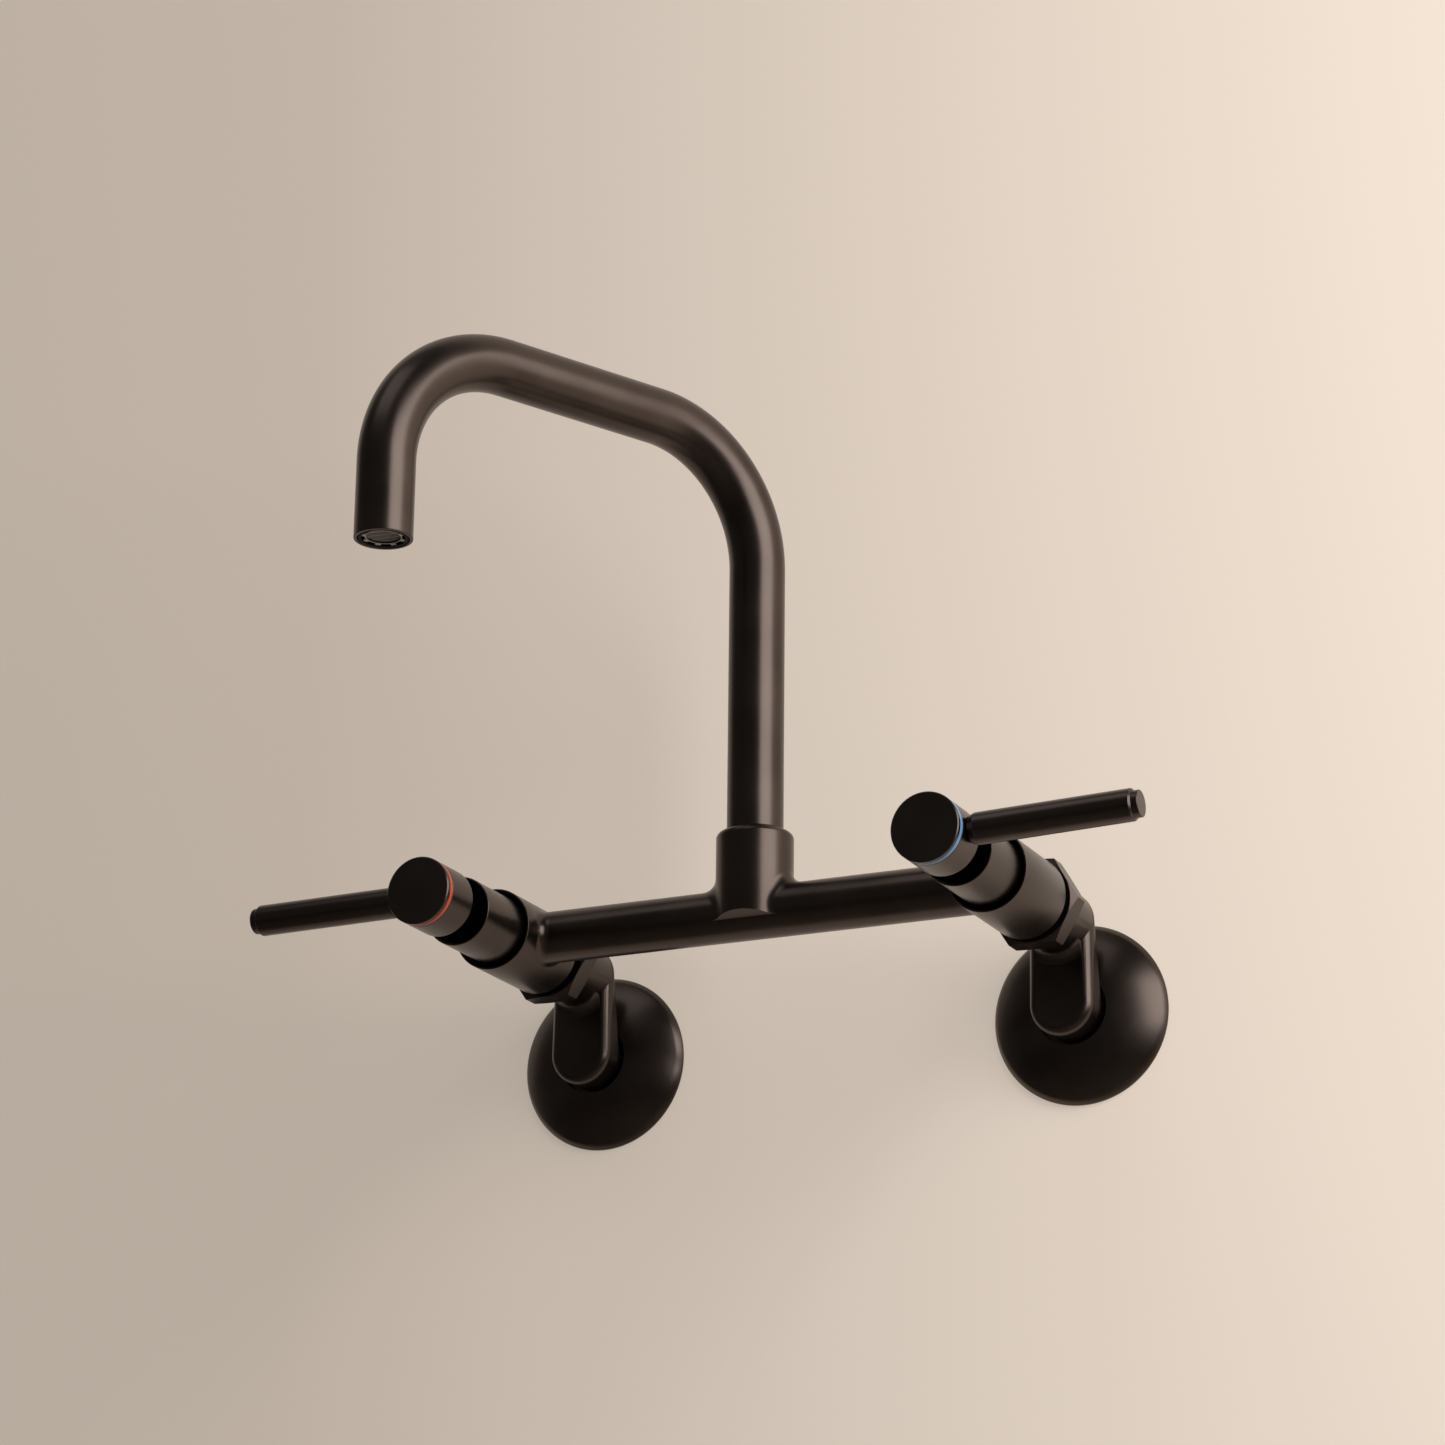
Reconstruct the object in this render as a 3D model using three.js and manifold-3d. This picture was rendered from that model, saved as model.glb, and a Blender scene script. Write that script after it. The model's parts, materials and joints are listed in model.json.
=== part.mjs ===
// Wall-mounted bridge faucet with two lever handles and a swivel spout.
// Millimetres, +Z up. The wall is the plane Y = 0 and the faucet stands out along -Y.
// The origin lies on the wall, midway between the two inlets.

import * as THREE from 'three';
import { mergeVertices } from 'three/addons/utils/BufferGeometryUtils.js';
import Module from 'manifold-3d';

const wasm = await Module();
wasm.setup();

// ---------- sizes ----------

// Fits
const slideGap = 0.35; // between a turning or pushed-in piece and its bore, on the radius
const seatGap = 0.3; // between two faces that rest on each other
const tight = 0.3; // round seals and rings, on the radius
const past = 1; // how far a cutting shape runs past the face it opens

// Layout, distances out from the wall
const inletSpacing = 203.2;
const valveHeight = 31.3;
const bodyBack = 57.5;
const bridgeOut = 77.8;
const leverOut = 144.8;

// Wall flanges
const flangeRadius = 35.05;
const flangeRim = 0.8; // height of the rim's upright side
const flangeEdge = 2.7; // height of the crisp edge round the curved face
const flangeEdgeRadius = 33.9;
const flangeDome = 50; // radius of the curved face
const flangeFace = 11.8;
const flangeHole = 14.2;
const flangeMouth = 3.2; // depth of the wider mouth in front of the lips
const flangeSeat = 3.5;
const flangeWall = 2.4;
const flangeHub = 18.2;
const flangeRingGroove = 1.9;
const flangeRingBack = 3.4;
const flangeRingWidth = 2.6;

// Swing arms
const armRadius = 12.8;
const linkFront = 24.2; // flat front face
const linkFrontEdge = 3.6;
const linkBackLow = 13.4; // back of the link at the inlet
const linkBackHigh = 17.8; // and at the outlet
const linkBackEdge = 2.8;
const linkFillet = 2.5; // between the flat face and the outlet
const armBore = 7.5;
const channelFront = 21.7;
const channelDepth = 5.5;
const armBack = 0.5;
const inletBore = 10.5;
const inletDepth = 12;
const spigotRadius = 10.5;

// Union nuts
const nutFlats = 32;
const nutBack = 43.5;
const nutLength = 9.6;
const nutLip = 2.5;
const nutChamferRadius = 15.85;
const nutChamferRun = 1.5;
const nutBackChamferRun = 0.8;
const snapWidth = 1.2;
const snapGrooveRadius = 9.3;
const snapRadius = 12.6;
const snapSpread = 38;
const spigotTip = 0.8;
const unionWasher = 1.5;

// Valve bodies
const bodyRadius = 15.9;
const bodyLength = 40.2;
const neckRadius = 13.2;
const inletPort = 8.0;
const bodyFloor = 6.5;
const chamberRadius = 12.0;
const rimRadius = 15.2;
const rimDepth = 4.0;
const bonnetSeat = 10.0;
const bodyEdge = 0.5;

// Bridge tube and spout socket
const bridgeRadius = 10.0;
const bridgeBore = 7.0;
const bodyFillet = 4.0;
const socketFillet = 6.0;
const socketRadius = 14.8;
const socketBelow = 2.3; // lower edge at the front and the back
const socketSlope = 0.35; // fall of the underside towards the tube
const socketRise = 32.4;
const socketShoulder = 1.9; // fall of the top face
const socketCorner = 2.6;
const socketFloor = 8.8;
const socketPort = 8.0;

// Cartridges
const sealInner = 7.6;
const sealOuter = 10.2;
const sealThickness = 1.7;
const shellRadius = 10.4;
const shellBore = 8.9;
const shellHead = 15.7;
const collarRadius = 11.6;
const collarLength = 6.0;
const cartridgeGroove = 9.6;
const cartridgeGrooveWidth = 2.6;
const clampRadius = 13.3;
const clampThickness = 2.0;
const guideRadius = 8.0;
const guideLength = 6.0;
const windowWidth = 8.0;
const windowLength = 6.0;
const discRadius = 8.5;
const discThickness = 3.0;
const portInner = 2.4;
const portOuter = 6.6;
const portSpread = 76;
const drivePlate = 8.3;
const driveThickness = 2.2;
const keyLength = 10;
const keyWidth = 3;
const keyDepth = 1.2;
const stemRadius = 4.4;

// Bonnets
const bonnetRadius = 13.4;
const bonnetFront = 125.2;
const bonnetBore = 11.0;
const bonnetWall = 4.2;
const cupDepth = 3.0;
const cupRadius = 12.5;
const bonnetEdge = 0.4;

// Handles
const hubRadius = 13.0;
const hubBack = 136.75;
const hubFront = 156.0;
const hubEdge = 0.4;
const hubNeckRadius = 7.0;
const hubNeckGap = 0.6;
const capChamfer = 0.4;
const capSide = 1.5;
const ringWidth = 1.7;
const plugRadius = 9.1;
const plugWall = 1.6;
const plugLength = 4.4;
const screwWeb = 2.0;
const screwRadius = 1.9;
const screwHeadRadius = 3.5;
const screwHeadHeight = 2.4;
const screwLength = 10;
const screwRecess = 1.5;
const leverRadius = 5.88;
const leverRoot = 5.1;
const leverRootNarrow = 3.9;
const leverRootBack = 11.5;
const leverTaperEnd = 15.6;
const leverTaper = 2.1;
const leverLength = 76.5;
const leverTipRadius = 4.9;
const leverTipLength = 2.3;
const leverChamfer = 0.75;
const tipEdge = 0.35;
const studRadius = 2.5;
const studTip = 6.8;
const hotTilt = 0.67;
const coldTilt = -1.8;

// Spout
const spoutRadius = 10.8;
const spoutWall = 1.2;
const spoutBend = 51.2;
const spoutReach = 173.6;
const spoutTop = 189.3; // tube centre over the valve axis, at the top of the hook
const outletDrop = 81.4; // from that centre down to the outlet
const spoutTurn = -26.06; // degrees from straight out, as it stands at rest
const ferruleBase = 15.6;
const ferruleBore = 6.6;
const ferruleInsert = 7.0;
const ferruleGroove = 8.7;
const sealGrooveWidth = 2.6;
const lowerGroove = 0.9;
const keeperGroove = 5.2;
const keeperGrooveWidth = 4.6;
const upperGroove = 11.6;
const glideInner = 8.6;
const glideThickness = 1.0;
const grubRadius = 1.9;
const grubRecess = 1.1;
const grubRecessDepth = 1.5;
const grubReach = 1.0;

// Aerator
const aeratorInner = 7.7;
const aeratorLength = 9.5;
const aeratorRecess = 0.2;
const keyLugs = 8;
const lugWidth = 2.0;
const lugHeight = 1.2;
const lugInner = 8.25; // outside of the plain ring that the lugs stand round
const lugInset = 0.2;
const screenLedge = 6.6;
const screenRadius = 7.35;
const screenThickness = 1.2;
const screenBack = 1.4;
const screenSlots = 7;
const screenSlotWidth = 0.9;
const screenPitch = 1.75;
const screenMargin = 1.1;
const aeratorWasher = 1.6;
const aeratorWasherInner = 7.0;

// Facets round a circle
const roundLarge = 24;
const roundMain = 20;
const roundHidden = 14;
const roundSmall = 8;
const ringSteps = 5;
const linkSteps = 3;
const domeSteps = 4;
const spoutBendSteps = 7;
const filletSteps = 3;

// ---------- places that follow from the sizes ----------

const bodyFront = bodyBack + bodyLength;
const nutFront = nutBack + nutLength;
const nutBore = neckRadius + slideGap;
const armShoulder = nutBack - seatGap;
const snapBack = nutBack + nutLip + seatGap;
const snapGrooveEnd = snapBack + snapWidth + seatGap;
const spigotFront = snapGrooveEnd + spigotTip;
const washerBack = spigotFront + seatGap;
const neckBack = washerBack + unionWasher + seatGap;

const chamberBack = bodyBack + bodyFloor;
const bonnetBoreBack = bodyFront - bonnetSeat;
const sealBack = chamberBack + seatGap;
const shellBack = sealBack + sealThickness + seatGap;
const fixedDiscBack = shellBack;
const movingDiscBack = fixedDiscBack + discThickness + seatGap;
const driveBack = movingDiscBack + discThickness + seatGap;
const clampBack = bonnetBoreBack + seatGap;
const bonnetBack = clampBack + clampThickness + seatGap;

const cupFloor = bonnetFront - cupDepth;
const capBack = hubFront - capChamfer - capSide;
const ringFront = capBack - seatGap;
const ringBack = ringFront - ringWidth;
const hubEnd = ringBack - seatGap;
const plugBack = capBack - plugLength;
const plugFloor = plugBack - seatGap;
const webBack = plugFloor - screwWeb;
const stemFront = webBack - seatGap;

const socketBase = socketFloor;
const tubeBore = spoutRadius - spoutWall;
const aeratorOuter = tubeBore - slideGap;

// ---------- shape helpers ----------

// Makes a solid from a closed geometry, with its faces pointing out.
function solid(geometry) {
  const bare = geometry.clone();
  for (const name of Object.keys(bare.attributes)) {
    if (name !== 'position') bare.deleteAttribute(name);
  }
  const merged = mergeVertices(bare, 1e-4);
  const points = merged.attributes.position.array;
  const index = merged.index.array;
  const corners = [];
  let volume = 0;
  for (let i = 0; i < index.length; i += 3) {
    const [a, b, c] = [index[i], index[i + 1], index[i + 2]];
    if (a === b || b === c || c === a) continue;
    corners.push([a, b, c]);
    const [pa, pb, pc] = [a, b, c].map((k) => new THREE.Vector3().fromArray(points, 3 * k));
    volume += pa.dot(pb.cross(pc));
  }
  const triangles = corners.flatMap(([a, b, c]) => (volume < 0 ? [a, c, b] : [a, b, c]));
  return new wasm.Manifold(
    new wasm.Mesh({
      numProp: 3,
      vertProperties: new Float32Array(points),
      triVerts: new Uint32Array(triangles),
    }),
  );
}

// Turns a solid back into a geometry.
function geometryOf(body) {
  const mesh = body.getMesh();
  const geometry = new THREE.BufferGeometry();
  geometry.setAttribute('position', new THREE.BufferAttribute(new Float32Array(mesh.vertProperties), 3));
  geometry.setIndex(new THREE.BufferAttribute(new Uint32Array(mesh.triVerts), 1));
  const flat = geometry.toNonIndexed();
  flat.computeVertexNormals();
  return flat;
}

// Profile points are [radius, distance]. A profile that starts and ends on the axis is a full
// solid, any other closes on itself.
function lathe(profile, sides) {
  const points = profile.map(([r, s]) => new THREE.Vector2(r, s));
  const onAxis = profile[0][0] === 0 && profile[profile.length - 1][0] === 0;
  if (!onAxis) points.push(points[0].clone());
  return new THREE.LatheGeometry(points, sides);
}

// Round about the valve axis, distances out from the wall.
function outward(profile, sides) {
  return solid(lathe(profile, sides).rotateX(Math.PI));
}

// Round about an upright axis, distances up.
function upright(profile, sides) {
  return solid(lathe(profile, sides).rotateX(Math.PI / 2));
}

// Round about a level axis along the wall, distances towards +X.
function sideways(profile, sides) {
  return solid(lathe(profile, sides).rotateZ(-Math.PI / 2));
}

// Profile of a plain cylinder.
function rod(radius, from, to) {
  return [
    [0, from],
    [radius, from],
    [radius, to],
    [0, to],
  ];
}

// Profile of a plain ring.
function sleeve(inner, outer, from, to) {
  return [
    [inner, from],
    [outer, from],
    [outer, to],
    [inner, to],
  ];
}

// Profile of a ring with a round section.
function cord(inner, outer, middle) {
  const section = (outer - inner) / 2;
  const profile = [];
  for (let i = 0; i < ringSteps; i += 1) {
    const a = (2 * Math.PI * i) / ringSteps;
    profile.push([inner + section + section * Math.cos(a), middle + section * Math.sin(a)]);
  }
  return profile;
}

// Arc between two profile points that bulges away from the axis and from the wall.
function bow([r0, s0], [r1, s1], radius, steps) {
  const half = Math.asin(Math.hypot(r1 - r0, s1 - s0) / (2 * radius));
  const start = Math.atan2(s0 - s1, r1 - r0) - half;
  const points = [];
  for (let i = 0; i <= steps; i += 1) {
    const a = start + (2 * half * i) / steps;
    points.push([
      r0 + radius * (Math.sin(a) - Math.sin(start)),
      s0 + radius * (Math.cos(a) - Math.cos(start)),
    ]);
  }
  return points;
}

function block(width, depth, height, x, y, z) {
  return solid(new THREE.BoxGeometry(width, depth, height).translate(x, y, z));
}

// A level ring sector between two radii, open on an angle, extruded outward.
function sector(inner, outer, middle, spread, from, to) {
  const half = THREE.MathUtils.degToRad(spread / 2);
  const shape = new THREE.Shape();
  shape.absarc(0, 0, outer, middle - half, middle + half, false);
  shape.absarc(0, 0, inner, middle + half, middle - half, true);
  shape.closePath();
  const geometry = new THREE.ExtrudeGeometry(shape, {
    depth: to - from,
    bevelEnabled: false,
    curveSegments: 3,
  });
  return solid(geometry.rotateX(Math.PI / 2).translate(0, -from, 0));
}

// Closed skin over a row of rings; "closed" joins the last ring to the first.
function skin(rings, closed) {
  const count = rings[0].length;
  const points = rings.flat();
  const index = [];
  const last = closed ? rings.length : rings.length - 1;
  for (let k = 0; k < last; k += 1) {
    const next = (k + 1) % rings.length;
    for (let i = 0; i < count; i += 1) {
      const j = (i + 1) % count;
      const [a, b] = [k * count + i, k * count + j];
      const [c, d] = [next * count + j, next * count + i];
      index.push(a, b, c, a, c, d);
    }
  }
  if (!closed) {
    const end = (rings.length - 1) * count;
    for (let i = 1; i < count - 1; i += 1) {
      index.push(0, i + 1, i);
      index.push(end, end + i, end + i + 1);
    }
  }
  const geometry = new THREE.BufferGeometry();
  geometry.setFromPoints(points);
  geometry.setIndex(index);
  return solid(geometry);
}

// Tube along a path that stays in one upright plane. Path points hold a place and a direction in
// that plane as [run, rise]; "run" is the plane's level direction.
function tube(path, radius, sides, run) {
  const rise = new THREE.Vector3(0, 0, 1);
  const across = new THREE.Vector3().crossVectors(run, rise);
  const place = ([u, v]) => run.clone().multiplyScalar(u).addScaledVector(rise, v);
  const rings = path.map(({ at, dir }) => {
    const centre = place(at);
    const normal = place([-dir[1], dir[0]]);
    const ring = [];
    for (let i = 0; i < sides; i += 1) {
      const a = (2 * Math.PI * i) / sides;
      ring.push(
        centre
          .clone()
          .addScaledVector(normal, radius * Math.cos(a))
          .addScaledVector(across, radius * Math.sin(a)),
      );
    }
    return ring;
  });
  return skin(rings, false);
}

// Arc of path points from one direction to another, angles in degrees, anticlockwise or clockwise.
function bend(centre, radius, from, to, steps) {
  const turn = Math.sign(to - from);
  const points = [];
  for (let i = 0; i <= steps; i += 1) {
    const a = THREE.MathUtils.degToRad(from + ((to - from) * i) / steps);
    points.push({
      at: [centre[0] + radius * Math.cos(a), centre[1] + radius * Math.sin(a)],
      dir: [-turn * Math.sin(a), turn * Math.cos(a)],
    });
  }
  return points;
}

// Rolling-ball fillet between a tube along X and a round body that it meets. The body stands
// along Y or Z. The ring starts at the tube's surface and ends at the body's.
function fillet(tubeRadius, bodyR, ball, standing, side) {
  const rings = [];
  for (let i = 0; i < roundMain; i += 1) {
    const a = (2 * Math.PI * i) / roundMain;
    const out = new THREE.Vector3(0, Math.cos(a), Math.sin(a));
    const level = (tubeRadius + ball) * (standing === 'y' ? out.z : out.y);
    const along = Math.sqrt((bodyR + ball) ** 2 - level ** 2);
    const centre = out.clone().multiplyScalar(tubeRadius + ball);
    centre.x = along;
    const toTube = out.clone().negate();
    const toBody = new THREE.Vector3(
      -along,
      standing === 'y' ? 0 : -centre.y,
      standing === 'y' ? -centre.z : 0,
    ).normalize();
    const angle = toTube.angleTo(toBody);
    const ring = [];
    for (let k = 0; k <= filletSteps; k += 1) {
      const t = k / filletSteps;
      const spoke = toTube
        .clone()
        .multiplyScalar(Math.sin((1 - t) * angle) / Math.sin(angle))
        .addScaledVector(toBody, Math.sin(t * angle) / Math.sin(angle));
      ring.push(centre.clone().addScaledVector(spoke, ball));
    }
    const core = out.clone().multiplyScalar(tubeRadius - past);
    const coreLevel = standing === 'y' ? core.z : core.y;
    core.x = Math.sqrt((bodyR - past) ** 2 - coreLevel ** 2);
    ring.push(core);
    for (const point of ring) point.x *= side;
    rings.push(ring);
  }
  return skin(rings, true);
}

function join(first, ...others) {
  return others.reduce((body, other) => body.add(other), first);
}

function cut(body, ...others) {
  return others.reduce((rest, other) => rest.subtract(other), body);
}

// ---------- finishes ----------

function finish(color, roughness, metalness) {
  return new THREE.MeshStandardMaterial({ color, roughness, metalness });
}

const looks = {
  bronze: () => finish(0x4a403a, 0.3, 0.85),
  dark: () => finish(0x14110f, 0.6, 0.5),
  brass: () => finish(0xb08d4f, 0.35, 1),
  steel: () => finish(0xb9bcc0, 0.3, 1),
  ceramic: () => finish(0xe8e6e0, 0.35, 0),
  rubber: () => finish(0x1b1b1b, 0.85, 0),
  nylon: () => finish(0xd9d5c8, 0.6, 0),
  hotRing: () => finish(0xc4534a, 0.4, 0),
  coldRing: () => finish(0x7fa8c9, 0.4, 0),
  screen: () => finish(0x8c8f91, 0.5, 0.4),
};

function piece(name, body, look) {
  const mesh = new THREE.Mesh(geometryOf(body), look());
  mesh.name = name;
  return mesh;
}

// ---------- bridge casting ----------

function valveBody() {
  return outward(
    [
      [0, neckBack],
      [neckRadius, neckBack],
      [neckRadius, bodyBack],
      [bodyRadius - bodyEdge, bodyBack],
      [bodyRadius, bodyBack + bodyEdge],
      [bodyRadius, bodyFront],
      [0, bodyFront],
    ],
    roundLarge,
  );
}

// Inlet port, cartridge chamber, bonnet bore and the wider mouth in front of it.
function valveBores() {
  const bonnetHole = bonnetRadius + slideGap;
  return outward(
    [
      [0, neckBack - past],
      [inletPort, neckBack - past],
      [inletPort, chamberBack],
      [chamberRadius, chamberBack],
      [chamberRadius, bonnetBoreBack],
      [bonnetHole, bonnetBoreBack],
      [bonnetHole, bodyFront - rimDepth],
      [rimRadius, bodyFront - rimDepth],
      [rimRadius, bodyFront + past],
      [0, bodyFront + past],
    ],
    roundLarge,
  );
}

// Everything below the socket's underside, which falls from its front and back to the tube.
function socketUnderside(length) {
  const wide = 2 * socketRadius;
  const shape = new THREE.Shape([
    new THREE.Vector2(wide, -socketBelow + socketSlope * (wide - socketRadius)),
    new THREE.Vector2(0, -socketBelow - socketSlope * socketRadius),
    new THREE.Vector2(-wide, -socketBelow + socketSlope * (wide - socketRadius)),
    new THREE.Vector2(-wide, -wide),
    new THREE.Vector2(wide, -wide),
  ]);
  const geometry = new THREE.ExtrudeGeometry(shape, { depth: length, bevelEnabled: false });
  return solid(
    geometry.rotateX(Math.PI / 2).rotateZ(Math.PI / 2).translate(-length / 2, -bridgeOut, 0),
  );
}

function bridgeBody() {
  const reach = inletSpacing / 2;
  const turn = Math.PI / 2 - Math.atan2(socketShoulder, socketRadius - spoutRadius);
  const cornerHeight = socketRise - socketShoulder - socketCorner * Math.tan(turn / 2);
  const corner = [];
  for (let i = 0; i <= filletSteps; i += 1) {
    const a = (turn * i) / filletSteps;
    corner.push([
      socketRadius - socketCorner + socketCorner * Math.cos(a),
      cornerHeight + socketCorner * Math.sin(a),
    ]);
  }
  const foot = -socketBelow - socketSlope * socketRadius;
  const socket = upright(
    [[0, foot], [socketRadius, foot], ...corner, [spoutRadius, socketRise], [0, socketRise]],
    roundLarge,
  ).translate([0, -bridgeOut, 0]);
  const crossTube = sideways(rod(bridgeRadius, -reach, reach), roundMain).translate([0, -bridgeOut, 0]);
  const under = socketUnderside(reach);
  let body = join(crossTube, socket.subtract(under));
  for (const side of [-1, 1]) {
    const atSocket = fillet(bridgeRadius, socketRadius, socketFillet, 'z', side);
    const atBody = fillet(bridgeRadius, bodyRadius, bodyFillet, 'y', -side);
    body = join(
      body,
      valveBody().translate([side * reach, 0, 0]),
      atSocket.translate([0, -bridgeOut, 0]).subtract(under),
      atBody.translate([side * reach, -bridgeOut, 0]),
    );
  }
  const spoutHole = spoutRadius + slideGap;
  const socketBores = upright(
    [
      [0, 0],
      [socketPort, 0],
      [socketPort, socketBase],
      [spoutHole, socketBase],
      [spoutHole, socketRise + past],
      [0, socketRise + past],
    ],
    roundMain,
  ).translate([0, -bridgeOut, 0]);
  const bores = [
    socketBores,
    sideways(rod(bridgeBore, -reach, reach), roundHidden).translate([0, -bridgeOut, 0]),
    outward(rod(grubRadius + slideGap, -socketRadius - past, -socketPort), roundSmall).translate([
      0,
      -bridgeOut,
      grubHeight,
    ]),
  ];
  for (const side of [-1, 1]) bores.push(valveBores().translate([side * reach, 0, 0]));
  return cut(body, ...bores);
}

// ---------- spout and its seat, heights over the valve axis ----------

const glideBase = socketBase + seatGap;
const ferruleBottom = glideBase + glideThickness + seatGap;
const ferruleTop = ferruleBottom + ferruleBase;
const tubeBottom = ferruleTop + seatGap;
const grubHeight = ferruleBottom + keeperGroove + keeperGrooveWidth / 2;
const outletBottom = spoutTop - outletDrop;

// The bore's facets match the tube's, so the wall stays even round the bend.
function spoutPath(overshoot) {
  const riserEnd = spoutTop - spoutBend;
  const runEnd = spoutReach - spoutBend;
  return [
    { at: [0, tubeBottom - overshoot], dir: [0, 1] },
    ...bend([spoutBend, riserEnd], spoutBend, 180, 90, spoutBendSteps),
    ...bend([runEnd, riserEnd], spoutBend, 90, 0, spoutBendSteps),
    { at: [spoutReach, outletBottom - overshoot], dir: [0, -1] },
  ];
}

function spoutTube() {
  const run = new THREE.Vector3(1, 0, 0);
  return cut(
    tube(spoutPath(0), spoutRadius, roundMain, run),
    tube(spoutPath(past), tubeBore, roundMain, run),
  );
}

function spoutFerrule() {
  const insert = tubeBore - slideGap;
  const grooves = [
    [lowerGroove, sealGrooveWidth],
    [keeperGroove, keeperGrooveWidth],
    [upperGroove, sealGrooveWidth],
  ];
  const profile = [
    [ferruleBore, ferruleBottom],
    [spoutRadius, ferruleBottom],
  ];
  for (const [from, width] of grooves) {
    const start = ferruleBottom + from;
    profile.push([spoutRadius, start], [ferruleGroove, start]);
    profile.push([ferruleGroove, start + width], [spoutRadius, start + width]);
  }
  profile.push([spoutRadius, ferruleTop], [insert, ferruleTop]);
  profile.push([insert, ferruleTop + ferruleInsert], [ferruleBore, ferruleTop + ferruleInsert]);
  return upright(profile, roundHidden);
}

function spoutSeal(groove) {
  const middle = ferruleBottom + groove + sealGrooveWidth / 2;
  return upright(cord(ferruleGroove + tight, spoutRadius + slideGap - tight, middle), roundHidden);
}

function grubScrew() {
  const tip = ferruleGroove + grubReach;
  const head = socketRadius - seatGap;
  const recess = rod(grubRecess, -head - past, -head + grubRecessDepth);
  return cut(outward(rod(grubRadius, -head, -tip), roundSmall), outward(recess, 6));
}

// Housing in the outlet with a ledge over the screen and key lugs round its lower face.
function aeratorHousing() {
  const bottom = outletBottom + aeratorRecess;
  const ledge = bottom + screenBack + screenThickness + seatGap;
  let body = upright(
    [
      [aeratorInner, bottom],
      [aeratorOuter, bottom],
      [aeratorOuter, bottom + aeratorLength],
      [screenLedge, bottom + aeratorLength],
      [screenLedge, ledge],
      [aeratorInner, ledge],
    ],
    roundMain,
  );
  body = body.subtract(
    upright(sleeve(lugInner, aeratorOuter + past, bottom - past, bottom + lugHeight), roundMain),
  );
  for (let i = 0; i < keyLugs; i += 1) {
    const lug = block(
      aeratorOuter - lugInner,
      lugWidth,
      2 * lugHeight,
      (aeratorOuter + lugInner) / 2 - lugInset,
      0,
      bottom + lugHeight,
    );
    body = body.add(lug.rotate([0, 0, (360 * i) / keyLugs]));
  }
  return body;
}

function aeratorScreen() {
  const bottom = outletBottom + aeratorRecess + screenBack;
  const top = bottom + screenThickness;
  let body = upright(rod(screenRadius, bottom, top), roundMain);
  for (let i = 0; i < screenSlots; i += 1) {
    const off = (i - (screenSlots - 1) / 2) * screenPitch;
    const length = 2 * (Math.sqrt(screenRadius ** 2 - off ** 2) - screenMargin);
    body = body.subtract(
      block(length, screenSlotWidth, screenThickness + 2 * past, 0, off, (bottom + top) / 2),
    );
  }
  return body;
}

function aeratorSeal() {
  const bottom = outletBottom + aeratorRecess + aeratorLength + seatGap;
  return upright(sleeve(aeratorWasherInner, aeratorOuter, bottom, bottom + aeratorWasher), roundHidden);
}

function spoutGroup() {
  const group = new THREE.Group();
  group.position.set(0, -bridgeOut, valveHeight);
  group.rotation.z = THREE.MathUtils.degToRad(spoutTurn - 90);
  group.add(
    piece('spout_tube', spoutTube(), looks.bronze),
    piece('spout_ferrule', spoutFerrule(), looks.brass),
    piece('spout_o_ring_lower', spoutSeal(lowerGroove), looks.rubber),
    piece('spout_o_ring_upper', spoutSeal(upperGroove), looks.rubber),
    piece(
      'spout_glide_washer',
      upright(sleeve(glideInner, spoutRadius, glideBase, glideBase + glideThickness), roundHidden),
      looks.nylon,
    ),
  );
  const outlet = new THREE.Group();
  outlet.position.x = spoutReach;
  outlet.add(
    piece('aerator_housing', aeratorHousing(), looks.dark),
    piece('aerator_screen', aeratorScreen(), looks.screen),
    piece('aerator_washer', aeratorSeal(), looks.rubber),
  );
  group.add(outlet);
  return group;
}

// ---------- valve insides ----------

function cartridgeShell() {
  const collarBack = clampBack - collarLength;
  const grooveBack = clampBack - (collarLength + cartridgeGrooveWidth) / 2;
  const grooveFront = grooveBack + cartridgeGrooveWidth;
  const stemHole = stemRadius + slideGap;
  const clampFront = clampBack + clampThickness;
  let body = outward(
    [
      [shellBore, shellBack],
      [shellRadius, shellBack],
      [shellRadius, collarBack],
      [collarRadius, collarBack],
      [collarRadius, grooveBack],
      [cartridgeGroove, grooveBack],
      [cartridgeGroove, grooveFront],
      [collarRadius, grooveFront],
      [collarRadius, clampBack],
      [clampRadius, clampBack],
      [clampRadius, clampFront],
      [guideRadius, clampFront],
      [guideRadius, clampFront + guideLength],
      [stemHole, clampFront + guideLength],
      [stemHole, shellBack + shellHead],
      [shellBore, shellBack + shellHead],
    ],
    roundHidden,
  );
  const windowMiddle = bridgeOut;
  return body.subtract(
    block(4 * shellRadius, windowLength, windowWidth, 0, -windowMiddle, 0),
  );
}

function cartridgeSeal() {
  const middle = clampBack - collarLength / 2;
  return outward(cord(cartridgeGroove + tight, chamberRadius - tight, middle), roundHidden);
}

function discPorts(turn, back) {
  const from = back - past;
  const to = back + discThickness + past;
  return [turn, turn + Math.PI].map((a) => sector(portInner, portOuter, a, portSpread, from, to));
}

function fixedDisc() {
  const disc = outward(rod(discRadius, fixedDiscBack, fixedDiscBack + discThickness), roundHidden);
  return cut(disc, ...discPorts(Math.PI / 2, fixedDiscBack));
}

function movingDisc() {
  const front = movingDiscBack + discThickness;
  const disc = outward(rod(discRadius, movingDiscBack, front), roundHidden);
  const slot = block(
    keyWidth + 2 * slideGap,
    2 * (keyDepth + seatGap),
    keyLength + 2 * slideGap,
    0,
    -front,
    0,
  );
  return cut(disc, ...discPorts(0, movingDiscBack), slot);
}

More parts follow.
